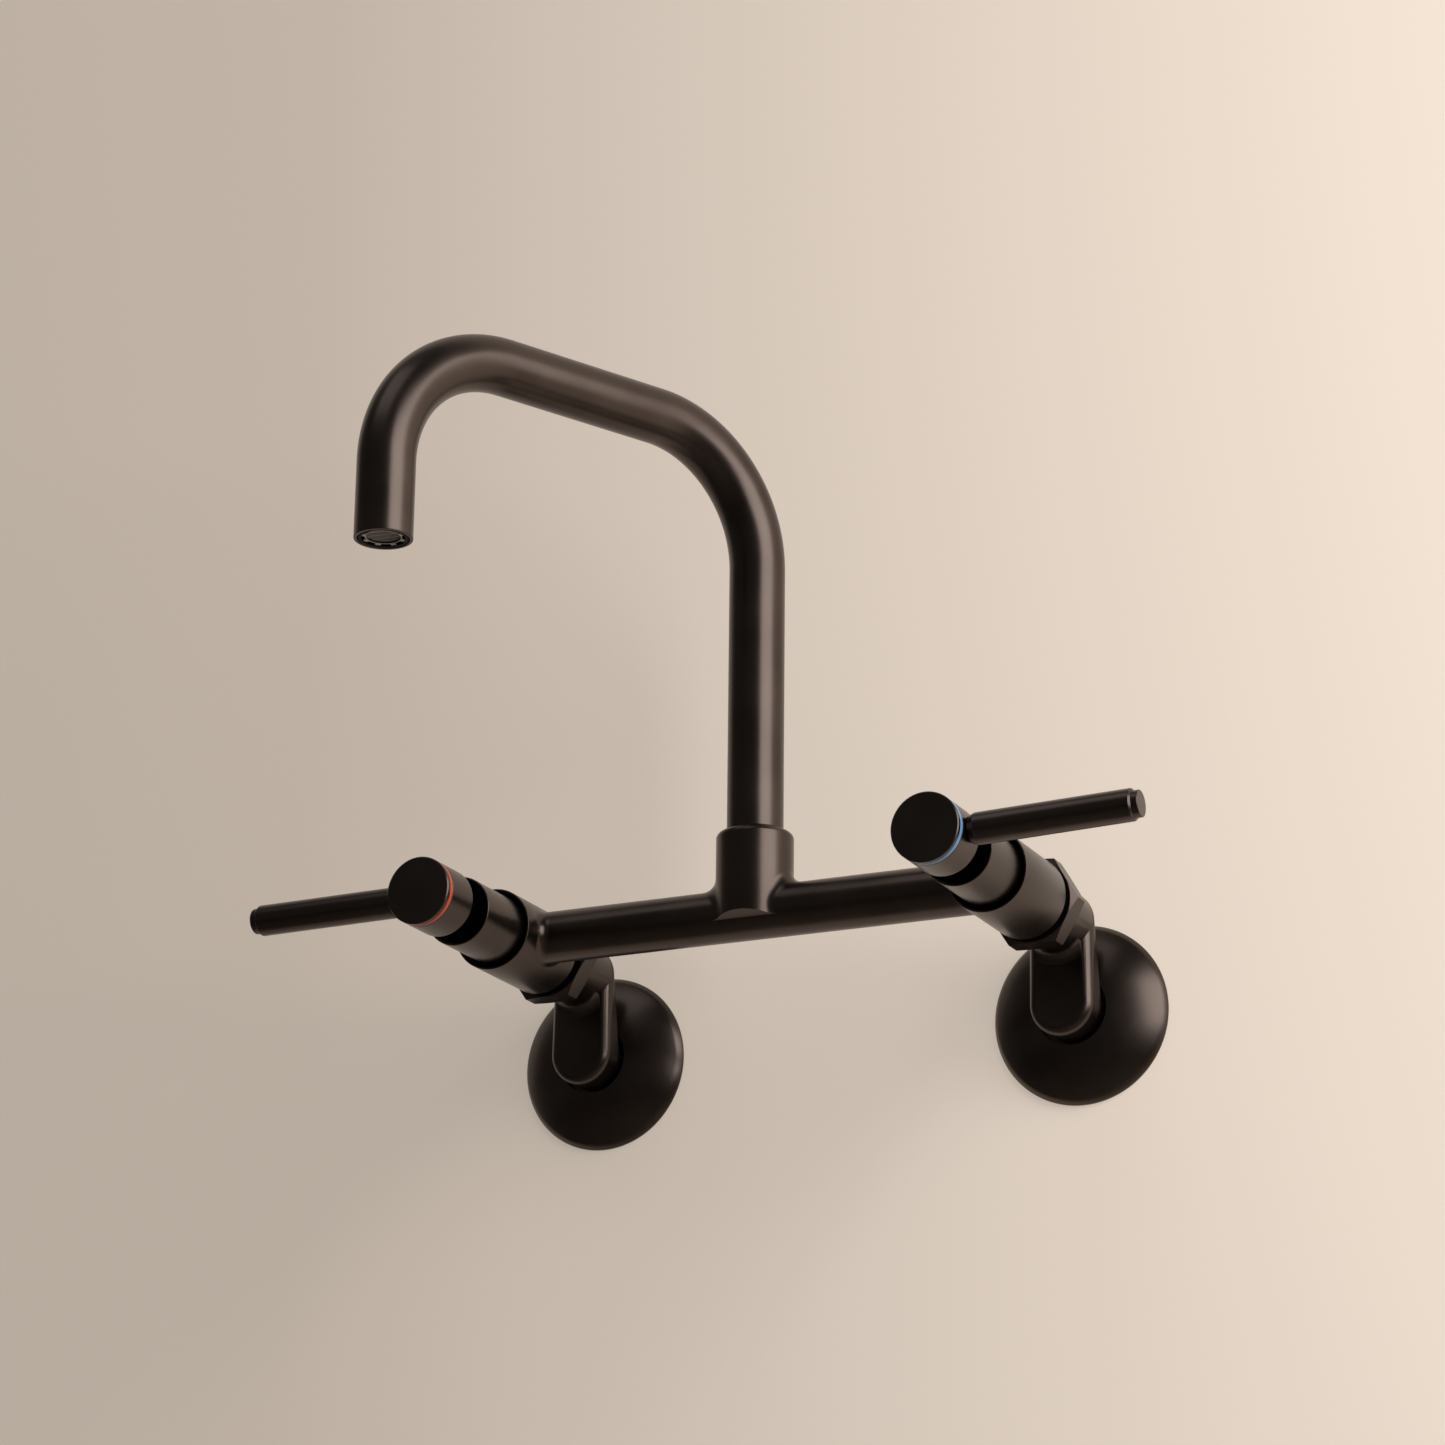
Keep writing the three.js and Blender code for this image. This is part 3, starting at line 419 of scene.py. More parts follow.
def finished(
    name, bm, body, material, replaces=(), sharp=33, recess=None, weighted=True
):
    """Makes a piece in metres from a shape in millimetres and lets it ride on a body.

    A painted-shade test takes a face's middle in millimetres and picks the faces that get
    near-black bronze as painted shade in gaps, bores and grooves.
    Weighted normals keep flat faces flat beside their roundings.
    """
    # Faces picked by the test get painted shade: near-black bronze where shade falls in gaps and
    # grooves.
    deep = [bool(recess and recess(f.calc_center_median())) for f in bm.faces]
    bmesh.ops.scale(bm, vec=(MM, MM, MM), verts=bm.verts)
    mesh = skinned(bm, name)
    mesh.shade_smooth()
    mesh.set_sharp_from_angle(angle=math.radians(sharp))
    mesh.materials.append(material)
    if any(deep):
        mesh.materials.append(finish("recess"))
        mesh.polygons.foreach_set("material_index", [int(flag) for flag in deep])
    piece = linked(name, mesh)
    if weighted:
        weights = piece.modifiers.new("weighted_normals", "WEIGHTED_NORMAL")
        weights.keep_sharp = True
    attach(piece, body)
    if replaces:
        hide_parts(*replaces)
    return piece


# ---------- materials ----------

NOISE_LOW = 0.3
NOISE_HIGH = 0.7
CLOUD_SCALE = 45.0
METAL_SPREAD = 0.05
METAL_RELIEF = 0.04
POWDER_SCALE = 2600.0
POWDER_DEPTH = 0.00006
MOULD_CLOUDS = 120.0
MOULD_SPREAD = 0.04
MOULD_GRAIN = 900.0
MOULD_DEPTH = 0.00005
METAL_DARK = 0.85
MOULD_DARK = 0.86


def surface(name):
    """New node material: its nodes, links and main shader."""
    material = bpy.data.materials.new(name)
    material.use_nodes = True
    nodes = material.node_tree.nodes
    return material, nodes, material.node_tree.links, nodes["Principled BSDF"]


def grain(nodes, links, scale, detail=3.0):
    """Noise on object coordinates."""
    place = nodes.new("ShaderNodeTexCoord")
    noise = nodes.new("ShaderNodeTexNoise")
    noise.inputs["Scale"].default_value = scale
    noise.inputs["Detail"].default_value = detail
    links.new(place.outputs["Object"], noise.inputs["Vector"])
    return noise.outputs["Fac"]


def ranged(nodes, links, value, low, high, start=NOISE_LOW, end=NOISE_HIGH):
    """Maps a value to a range."""
    spread = nodes.new("ShaderNodeMapRange")
    spread.inputs["From Min"].default_value = start
    spread.inputs["From Max"].default_value = end
    spread.inputs["To Min"].default_value = low
    spread.inputs["To Max"].default_value = high
    links.new(value, spread.inputs["Value"])
    return spread.outputs["Result"]


def blended(nodes, links, value, dark, light):
    """Blends two colours by a noise value."""
    ramp = nodes.new("ShaderNodeValToRGB")
    ramp.color_ramp.elements[0].position = NOISE_LOW
    ramp.color_ramp.elements[1].position = NOISE_HIGH
    ramp.color_ramp.elements[0].color = (*dark, 1)
    ramp.color_ramp.elements[1].color = (*light, 1)
    links.new(value, ramp.inputs["Fac"])
    return ramp.outputs["Color"]


def bumped(nodes, links, shader, height, strength, distance):
    """Adds a fine relief."""
    bump = nodes.new("ShaderNodeBump")
    bump.inputs["Strength"].default_value = strength
    bump.inputs["Distance"].default_value = distance
    links.new(height, bump.inputs["Height"])
    links.new(bump.outputs["Normal"], shader.inputs["Normal"])


def metal(name, dark, light, roughness):
    """Satin metal: soft clouds in its colour and roughness, and a fine powdery relief."""
    material, nodes, links, shader = surface(name)
    shader.inputs["Metallic"].default_value = 1.0
    cloud = grain(nodes, links, CLOUD_SCALE)
    links.new(blended(nodes, links, cloud, dark, light), shader.inputs["Base Color"])
    half = METAL_SPREAD / 2
    rough = ranged(nodes, links, cloud, roughness - half, roughness + half)
    links.new(rough, shader.inputs["Roughness"])
    powder = grain(nodes, links, POWDER_SCALE, 2.0)
    bumped(nodes, links, shader, powder, METAL_RELIEF, POWDER_DEPTH)
    return material


def moulded(name, base, roughness, relief=0.05):
    """Plastic, rubber or ceramic with a little unevenness."""
    material, nodes, links, shader = surface(name)
    cloud = grain(nodes, links, MOULD_CLOUDS)
    dark = [MOULD_DARK * c for c in base]
    links.new(blended(nodes, links, cloud, dark, base), shader.inputs["Base Color"])
    rough = ranged(nodes, links, cloud, roughness - MOULD_SPREAD, roughness + MOULD_SPREAD)
    links.new(rough, shader.inputs["Roughness"])
    bumped(nodes, links, shader, grain(nodes, links, MOULD_GRAIN, 2.0), relief, MOULD_DEPTH)
    return material


FINISHES = {}


def finish(name):
    """The named finish, made once."""
    if name not in FINISHES:
        look = bpy.context.scene.faucet_finish
        bronze, light = tuple(look.bronze), tuple(look.bronze_light)
        makers = {
            "bronze": lambda: metal("satin_bronze", bronze, light, look.bronze_roughness),
            # Painted shade in gaps and grooves, as near-black bronze.
            "recess": lambda: metal(
                "painted_shade_bronze", tuple(look.recess), tuple(look.recess), 0.6
            ),
            "raw_brass": lambda: metal(
                "turned_brass", [METAL_DARK * c for c in look.brass], tuple(look.brass), 0.32
            ),
            "steel": lambda: metal(
                "plain_steel", [METAL_DARK * c for c in look.steel], tuple(look.steel), 0.28
            ),
            "ceramic": lambda: moulded("lapped_ceramic", tuple(look.ceramic), 0.3, 0.02),
            "rubber": lambda: moulded("black_rubber", tuple(look.rubber), 0.75, 0.15),
            "nylon": lambda: moulded("natural_nylon", tuple(look.nylon), 0.5),
            "dark_plastic": lambda: moulded("moulded_aerator", tuple(look.aerator), 0.32),
            "screen_plastic": lambda: moulded("screen_wire", tuple(look.screen), 0.4),
            "red_ring": lambda: moulded("red_ring", tuple(look.hot_ring), 0.35, 0.02),
            "blue_ring": lambda: moulded("blue_ring", tuple(look.cold_ring), 0.35, 0.02),
        }
        FINISHES[name] = makers[name]()
    return FINISHES[name]


# ---------- bridge casting ----------

# Fillets stand proud of the metal that they join, and cutters reach past a face.
PROUD = 0.02
PAST = 1.0
OVERLAP = 2.0
WEDGE_SPAN = 80
FILLET_STEPS = 18
FILLET_ENDS = (0.006, 0.994)
NECK_BACK = 50.7
NECK_RADIUS = 13.2
PORT_RADIUS = 8.0
CHAMBER_BACK = 64.0
CHAMBER_RADIUS = 12.0
BONNET_SEAT = 10.0
BONNET_PLAY = 0.35
MOUTH_DEPTH = 4.0
MOUTH_RADIUS = 15.2
WELL_TOP = 8.8
WELL_END = 45.0
SPOUT_PLAY = 0.3
TUBE_BORE = 7.0
BODY_SKIRT = 6
SKIN = 0.1


def blend_ring(tube_radius, body_radius, ball, standing, side, facets):
    """Rolling-ball fillet round a level tube where it meets a round body.

    The body stands along "y" or "z". The ring is closed and reaches inside both.
    """
    tube_radius += PROUD
    body_radius += PROUD
    first, last = FILLET_ENDS
    shares = [0, first] + [k / FILLET_STEPS for k in range(1, FILLET_STEPS)] + [last, 1]
    bm = bmesh.new()
    rings = []
    for i in range(facets):
        angle = 2 * math.pi * i / facets
        out = Vector((0, math.cos(angle), math.sin(angle)))
        level = (tube_radius + ball) * (out.z if standing == "y" else out.y)
        along = math.sqrt((body_radius + ball) ** 2 - level**2)
        centre = out * (tube_radius + ball) + Vector((along, 0, 0))
        to_tube = -out
        if standing == "y":
            to_body = Vector((-along, 0, -centre.z)).normalized()
        else:
            to_body = Vector((-along, -centre.y, 0)).normalized()
        points = [centre + to_tube.slerp(to_body, t) * ball for t in shares]
        core = out * (tube_radius - PAST)
        inner = core.z if standing == "y" else core.y
        core.x = math.sqrt((body_radius - PAST) ** 2 - inner**2)
        points.append(core)
        rings.append([bm.verts.new((side * p.x, p.y, p.z)) for p in points])
    for one, two in zip(rings, rings[1:] + rings[:1]):
        for k in range(len(one)):
            j = (k + 1) % len(one)
            bm.faces.new((one[k], one[j], two[j], two[k]))
    return sound(bm)


def moved(bm, x, y, z):
    """Shifts a shape."""
    bmesh.ops.translate(bm, verts=bm.verts, vec=(x, y, z))
    return bm


def below_socket(s, at):
    """The two wedges of space under the socket's sloping underside."""
    wide = 2 * s.socket_radius
    middle = -s.socket_below - s.socket_fall
    side = -s.socket_below + s.socket_fall
    reach = (-WEDGE_SPAN, WEDGE_SPAN)
    wedges = []
    for way in (-1, 1):
        section = [
            (-way * OVERLAP, middle),
            (0, middle),
            (way * wide, side),
            (way * wide, -wide),
            (-way * OVERLAP, -wide),
        ]
        points = [Vector(at) + Vector((x, y, z)) for y, z in section for x in reach]
        wedges.append(("DIFFERENCE", hulled(points)))
    return wedges


def valve_depth(point, side):
    """Distance from the wall and from a valve's axis."""
    return -point.y, math.hypot(point.x - side * VALVE_X, point.z - VALVE_Z)


def casting():
    """Valve bodies, bridge tube and spout socket in one piece, with their bores."""
    s = sizes()
    n = s.facets
    front = s.body_back + s.body_length
    foot = -s.socket_below - s.socket_fall
    middle = (0, -s.bridge_out, VALVE_Z)
    tube = turned(rod(s.bridge_radius, -VALVE_X, VALVE_X), middle, (1, 0, 0), n)
    socket = turned(
        [
            (0, foot),
            (s.socket_radius, foot),
            (s.socket_radius, s.socket_rise - s.socket_shoulder, s.socket_corner),
            (s.spout_radius, s.socket_rise),
            (0, s.socket_rise),
        ],
        middle,
        UP,
        n,
        steps=8,
    )
    joins = [("UNION", combined(socket, *below_socket(s, middle)))]
    cuts = []
    for side in SIDES.values():
        at = (side * VALVE_X, 0, VALVE_Z)
        body = turned(
            [
                (0, NECK_BACK),
                (NECK_RADIUS, NECK_BACK, 0.4),
                (NECK_RADIUS, s.body_back),
                (s.body_radius, s.body_back, 0.5),
                (s.body_radius, front, 0.22),
                (0, front),
            ],
            at,
            WALL_OUT,
            n,
        )
        at_body = blend_ring(s.bridge_radius, s.body_radius, s.body_fillet, "y", -side, n)
        at_socket = blend_ring(s.bridge_radius, s.socket_radius, s.socket_fillet, "z", side, n)
        at_socket = combined(at_socket, *below_socket(s, (0, 0, 0)))
        joins += [
            ("UNION", body),
            ("UNION", moved(at_body, side * VALVE_X, -s.bridge_out, VALVE_Z)),
            ("UNION", moved(at_socket, *middle)),
        ]
        bonnet_hole = s.bonnet_radius + BONNET_PLAY
        bores = [
            (0, NECK_BACK - PAST),
            (PORT_RADIUS, NECK_BACK - PAST),
            (PORT_RADIUS, CHAMBER_BACK),
            (CHAMBER_RADIUS, CHAMBER_BACK),
            (CHAMBER_RADIUS, front - BONNET_SEAT),
            (bonnet_hole, front - BONNET_SEAT),
            (bonnet_hole, front - MOUTH_DEPTH),
            (MOUTH_RADIUS, front - MOUTH_DEPTH),
            (MOUTH_RADIUS, front + PAST),
            (0, front + PAST),
        ]
        cuts.append(("DIFFERENCE", turned(bores, at, WALL_OUT, n)))
    hole = s.spout_radius + SPOUT_PLAY
    well = [
        (0, 0),
        (PORT_RADIUS, 0),
        (PORT_RADIUS, WELL_TOP),
        (hole, WELL_TOP),
        (hole, WELL_END),
        (0, WELL_END),
    ]
    cuts.append(("DIFFERENCE", turned(well, middle, UP, n)))
    through = turned(rod(TUBE_BORE, -VALVE_X, VALVE_X), middle, (1, 0, 0), 48)
    cuts.append(("DIFFERENCE", through))
    return capped(combined(tube, *joins, *cuts))


# ---------- operators ----------


class FAUCET_OT_bridge(Operator):
    """Build the bridge casting: valve bodies, bridge tube and spout socket"""

    bl_idname = "faucet.bridge"
    bl_label = "Bridge Casting"

    def execute(self, context):
        s = sizes()
        front = s.body_back + s.body_length

        # Painted shade: faces deep in the valve bodies' mouths and bores get the near-black
        # bronze.
        def mouth(point):
            deep, off = valve_depth(point, math.copysign(1, point.x))
            inside = s.body_back + BODY_SKIRT < deep < front - SKIN
            return inside and off < MOUTH_RADIUS + SKIN

        finished(
            "bridge_casting",
            casting(),
            "bridge",
            finish("bronze"),
            ["bridge_body"],
            sharp=28,
            recess=mouth,
            weighted=False,
        )
        return {"FINISHED"}


SPOUT_FOOT = 26.3
SPOUT_FACETS = 96
END_SPREAD = 60
LIP_ANGLE = 1.0
LIP_ROUND = 0.3


def spout_frame():
    """The riser's foot, the outlet's direction and its place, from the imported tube."""
    s = sizes()
    low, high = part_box("aerator_screen")
    outlet = Vector(((low[0] + high[0]) / 2, (low[1] + high[1]) / 2, 0)) / MM
    foot = Vector((0, -s.bridge_out, 0))
    return foot, (outlet - foot).normalized(), outlet


class FAUCET_OT_spout(Operator):
    """Build the swivel spout tube"""

    bl_idname = "faucet.spout"
    bl_label = "Spout Tube"

    def execute(self, context):
        s = sizes()
        foot, out, _ = spout_frame()
        start = VALVE_Z + SPOUT_FOOT
        riser = VALVE_Z + s.spout_top - s.spout_bend - start
        level = s.spout_reach - 2 * s.spout_bend
        drop = s.outlet_drop - s.spout_bend
        bm = bmesh.new()
        for radius in (s.spout_radius, s.spout_radius - s.spout_wall):
            skin = pipe(
                foot + UP * start,
                UP,
                out,
                radius,
                [
                    ("run", riser),
                    ("bend", s.spout_bend, 90),
                    ("run", level),
                    ("bend", s.spout_bend, 90),
                    ("run", drop),
                ],
                SPOUT_FACETS,
            )
            mesh = skinned(skin, "skin")
            bm.from_mesh(mesh)
            bpy.data.meshes.remove(mesh)
        for reach in (min, max):
            ends = [e for e in bm.edges if len(e.link_faces) == 1]
            away = reach((e.verts[0].co - foot).xy.length for e in ends)
            near = [
                e for e in ends if abs((e.verts[0].co - foot).xy.length - away) < END_SPREAD
            ]
            bmesh.ops.bridge_loops(bm, edges=near)
        sound(bm)
        bm.normal_update()
        whole = [e for e in bm.edges if len(e.link_faces) == 2]
        rounded(bm, [e for e in whole if e.calc_face_angle() > LIP_ANGLE], LIP_ROUND)
        finished("spout_pipe", sound(bm), "spout", finish("bronze"), ["spout_tube"])
        return {"FINISHED"}


AERATOR_INSET = 0.2
AERATOR_PLAY = 0.3
AERATOR_TOP = 9.5
AERATOR_BORE = 6.0
SCREEN_FLOOR = 2.9
RIM_IN = 6.3
RIM_OUT = 6.8
RIM_RISE = 0.5
KEY_RADIUS = 8.0
KEY_DEPTH = 2.6
KEY_LUGS = 8
LUG_SIZE = (1.25, 2.2, 2.6)
LUG_AT = (7.3, 0, 1.6)
LUG_ROUND = 0.15
LUG_FACE = 0.8
WIRE_REACH = 6.4
WIRE_PITCH = 0.78
WIRE_ROWS = 8
# Each set of wires: its direction in degrees, every how many rows, its radius and its height.
WIRE_SETS = ((95, 1, 0.12, 1.3), (5, 4, 0.1, 1.6))


class FAUCET_OT_aerator(Operator):
    """Build the aerator's keyed housing and its wire screen"""

    bl_idname = "faucet.aerator"
    bl_label = "Aerator"

    def execute(self, context):
        s = sizes()
        _, out, outlet = spout_frame()
        bottom = VALVE_Z + s.spout_top - s.outlet_drop + AERATOR_INSET
        at = outlet + UP * bottom
        outer = s.spout_radius - s.spout_wall - AERATOR_PLAY
        housing = turned(
            [
                (RIM_IN, RIM_RISE, 0.12),
                (RIM_OUT, RIM_RISE, 0.12),
                (RIM_OUT, KEY_DEPTH),
                (KEY_RADIUS, KEY_DEPTH),
                (KEY_RADIUS, 0, 0.12),
                (outer, 0, 0.2),
                (outer, AERATOR_TOP, 0.2),
                (AERATOR_BORE, AERATOR_TOP),
                (AERATOR_BORE, SCREEN_FLOOR),
                (RIM_IN, SCREEN_FLOOR),
            ],
            at,
            UP,
            SPOUT_FACETS,
        )
        lugs = []
        for i in range(KEY_LUGS):
            lug = block(*LUG_SIZE, LUG_AT)
            rounded(lug, list(lug.edges), LUG_ROUND, 2)
            turn = Matrix.Rotation(2 * math.pi * i / KEY_LUGS, 4, "Z")
            bmesh.ops.transform(lug, matrix=turn, verts=lug.verts)
            lugs.append(("UNION", moved(lug, *at)))
        housing = combined(housing, *lugs)

        # Painted shade: the housing round and above the key lugs, deep in the groove, gets the
        # near-black bronze; the lug faces and the rim keep the moulded colour.
        def shaded_round_lugs(point):
            return (point - at).xy.length > KEY_RADIUS - 0.04 or point.z > bottom + LUG_FACE

        finished(
            "aerator_ring",
            housing,
            "spout",
            finish("dark_plastic"),
            ["aerator_housing"],
            recess=shaded_round_lugs,
        )
        wires = bmesh.new()
        for turn, every, thick, lift in WIRE_SETS:
            along = Matrix.Rotation(math.radians(turn), 3, "Z") @ Vector((1, 0, 0))
            across = along.cross(UP)
            for k in range(-WIRE_ROWS, WIRE_ROWS + 1, every):
                off = k * WIRE_PITCH
                half = math.sqrt(WIRE_REACH**2 - off**2)
                place = Matrix.Translation(at + across * off + UP * lift)
                turned_to = along.to_track_quat("Z", "Y").to_matrix().to_4x4()
                bmesh.ops.create_cone(
                    wires,
                    cap_ends=True,
                    segments=8,
                    radius1=thick,
                    radius2=thick,
                    depth=2 * half,
                    matrix=place @ turned_to,
                )
        finished(
            "aerator_wire_screen",
            wires,
            "spout",
            finish("screen_plastic"),
            ["aerator_screen"],
        )
        return {"FINISHED"}


BONNET_BACK = 90.3
BONNET_BORE = 11.0
CUP_RADIUS = 12.5
CUP_DEPTH = 3.0
CUP_FLOOR = 4.2
SPINDLE_HOLE = 4.75


class FAUCET_OT_bonnets(Operator):
    """Build the bonnets in front of the valve bodies"""

    bl_idname = "faucet.bonnets"
    bl_label = "Bonnets"

    def execute(self, context):
        s = sizes()
        cup = s.bonnet_front - CUP_DEPTH
        for name, side in SIDES.items():
            shell = turned(
                [
                    (BONNET_BORE, BONNET_BACK),
                    (s.bonnet_radius, BONNET_BACK, 0.3),
                    (s.bonnet_radius, s.bonnet_front, 0.4),
                    (CUP_RADIUS, s.bonnet_front, 0.2),
                    (CUP_RADIUS, cup, 0.3),
                    (SPINDLE_HOLE, cup),
                    (SPINDLE_HOLE, cup - CUP_FLOOR),
                    (BONNET_BORE, cup - CUP_FLOOR),
                ],
                (side * VALVE_X, 0, VALVE_Z),
                WALL_OUT,
                s.facets,
            )

            # Painted shade: the faces inside the bonnet's cup get the near-black bronze.
            def shaded_cup_inside(point):
                deep, off = valve_depth(point, side)
                return off < CUP_RADIUS + SKIN and deep < s.bonnet_front - SKIN

            finished(
                f"{name}_bonnet_sleeve",
                shell,
                "bridge",
                finish("bronze"),
                [f"{name}_bonnet"],
                recess=shaded_cup_inside,
            )
        return {"FINISHED"}


STEM_BACK = 122.8
STEM_RADIUS = 7.0
SPINDLE_END = 147.4
SCREW_HOLE = 2.25
HUB_FACE = 149.4
CAP_EDGE = 1.9
CAP_SPIGOT = 4.4
CAP_BORE = 7.5
CAP_FIT = 9.1
RING_SEAT = 9.45
RING_WIDTH = 1.75
RING_GAP = 0.25
SHADOW_GAP = 0.2
CAP_CHAMFER = 0.4
LEVER_FLAT = 11.0
LEVER_NARROW = 3.75
LEVER_ROOT = 5.1
ROOT_CONE = 13.5
TAPER_END = 15.6
TIP_BUTTON = 2.3
TIP_CHAMFER = 0.75
TIP_RADIUS = 4.9
LEVER_FIT = 0.06
STUD_RADIUS = 2.5
STUD_FROM = 6.8
STUD_TO = 15.0


def lever_way(name):
    """Direction of a lever at rest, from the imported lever's box."""
    low, high = (Vector(corner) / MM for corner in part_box(f"{name}_lever"))
    side = SIDES[name]
    s = sizes()
    rise = high.z - VALVE_Z - s.lever_radius
    sink = VALVE_Z - low.z - s.lever_radius
    tilt = rise if rise > sink else -sink
    return Vector((side, 0, tilt / s.lever_length)).normalized()


class FAUCET_OT_handles(Operator):
    """Build the handles: hub, colour ring, end cap and lever on each side"""

    bl_idname = "faucet.handles"
    bl_label = "Handles"

    def execute(self, context):
        s = sizes()
        n = s.facets
        for name, side in SIDES.items():
            at = Vector((side * VALVE_X, 0, VALVE_Z))
            body = f"{name}_handle"
            cap_back = s.hub_front - CAP_EDGE
            ring_front = cap_back - RING_GAP
            ring_back = ring_front - RING_WIDTH
            hub = turned(
                [
                    (SPINDLE_HOLE, STEM_BACK),
                    (STEM_RADIUS, STEM_BACK),
                    (STEM_RADIUS, s.hub_back),
                    (s.hub_radius, s.hub_back, 0.35),
                    (s.hub_radius, ring_back - SHADOW_GAP, 0.15),
                    (RING_SEAT, ring_back - SHADOW_GAP),
                    (RING_SEAT, HUB_FACE),
                    (SCREW_HOLE, HUB_FACE),
                    (SCREW_HOLE, SPINDLE_END),
                    (SPINDLE_HOLE, SPINDLE_END),
                ],
                at,
                WALL_OUT,
                n,
            )

            # Painted shade: the neck and the back of the hub, behind the colour ring, get the
            # near-black bronze.
            def shaded_hub_inside(point):
                deep, off = valve_depth(point, side)
                return off < s.hub_radius - 0.3 and deep < ring_back

            finished(
                f"{name}_handle_hub",
                hub,
                body,
                finish("bronze"),
                [f"{name}_hub"],
                recess=shaded_hub_inside,
            )
            band = turned(
                ring(RING_SEAT, s.hub_radius, ring_back, ring_front, 0.15), at, WALL_OUT, n
            )
            slot = "red_ring" if name == "hot" else "blue_ring"
            finished(
                f"{name}_colour_ring", band, body, finish(slot), [f"{name}_index_ring"]
            )
            cap = turned(
                [
                    (CAP_BORE, cap_back - CAP_SPIGOT),
                    (CAP_FIT, cap_back - CAP_SPIGOT, 0.3),
                    (CAP_FIT, cap_back),
                    (s.hub_radius, cap_back, 0.15),
                    (s.hub_radius, s.hub_front - CAP_CHAMFER, 0.12),
                    (s.hub_radius - CAP_CHAMFER, s.hub_front, 0.12),
                    (0, s.hub_front),
                    (0, cap_back + 0.3),
                    (CAP_BORE, cap_back + 0.3),
                ],
                at,
                WALL_OUT,
                n,
            )
            finished(f"{name}_hub_cap", cap, body, finish("bronze"), [f"{name}_end_cap"])
            way = lever_way(name)
            root = at + WALL_OUT * s.lever_out
            tip = s.lever_length - TIP_BUTTON
            bar = turned(
                [
                    (0, LEVER_FLAT),
                    (LEVER_NARROW, LEVER_FLAT),
                    (LEVER_ROOT, ROOT_CONE, 0.3),
                    (s.lever_radius, TAPER_END, 1.2),
                    (s.lever_radius, tip - TIP_CHAMFER, 0.3),
                    (s.lever_radius - TIP_CHAMFER, tip, 0.15),
                    (TIP_RADIUS, tip),
                    (TIP_RADIUS, s.lever_length, 0.35),
                    (0, s.lever_length),
                ],
                root,
                way,
                SPOUT_FACETS,
            )
            seat = turned(rod(s.hub_radius + LEVER_FIT, 130, 160), at, WALL_OUT, n)
            stud = turned(rod(STUD_RADIUS, STUD_FROM, STUD_TO), root, way, 32)
            bar = combined(bar, ("DIFFERENCE", seat), ("UNION", stud))

            # Painted shade: the lever's narrow root and stud by the hub get the near-black bronze.
            def shaded_root_end(point):
                return (point - root).dot(way) < ROOT_CONE - SKIN

            finished(
                f"{name}_lever_bar",
                bar,
                body,
                finish("bronze"),
                [f"{name}_lever"],
                recess=shaded_root_end,
            )
        return {"FINISHED"}


NUT_GAP = 0.3
INLET_START = 0.5
INLET_SOCKET = 10.5
SOCKET_DEPTH = 12.5
CHANNEL_RADIUS = 7.5
CHANNEL_LOW = 16.2
CHANNEL_HIGH = 20.6
CHANNEL_FRONT = 21.7
OUTLET_FROM = 20.7
CORNER_BORE = 8.5
SPIGOT_RADIUS = 10.5
SNAP_GROOVE = 9.3
SNAP_BACK = 46.0
SNAP_FRONT = 47.8
SPIGOT_END = 48.6


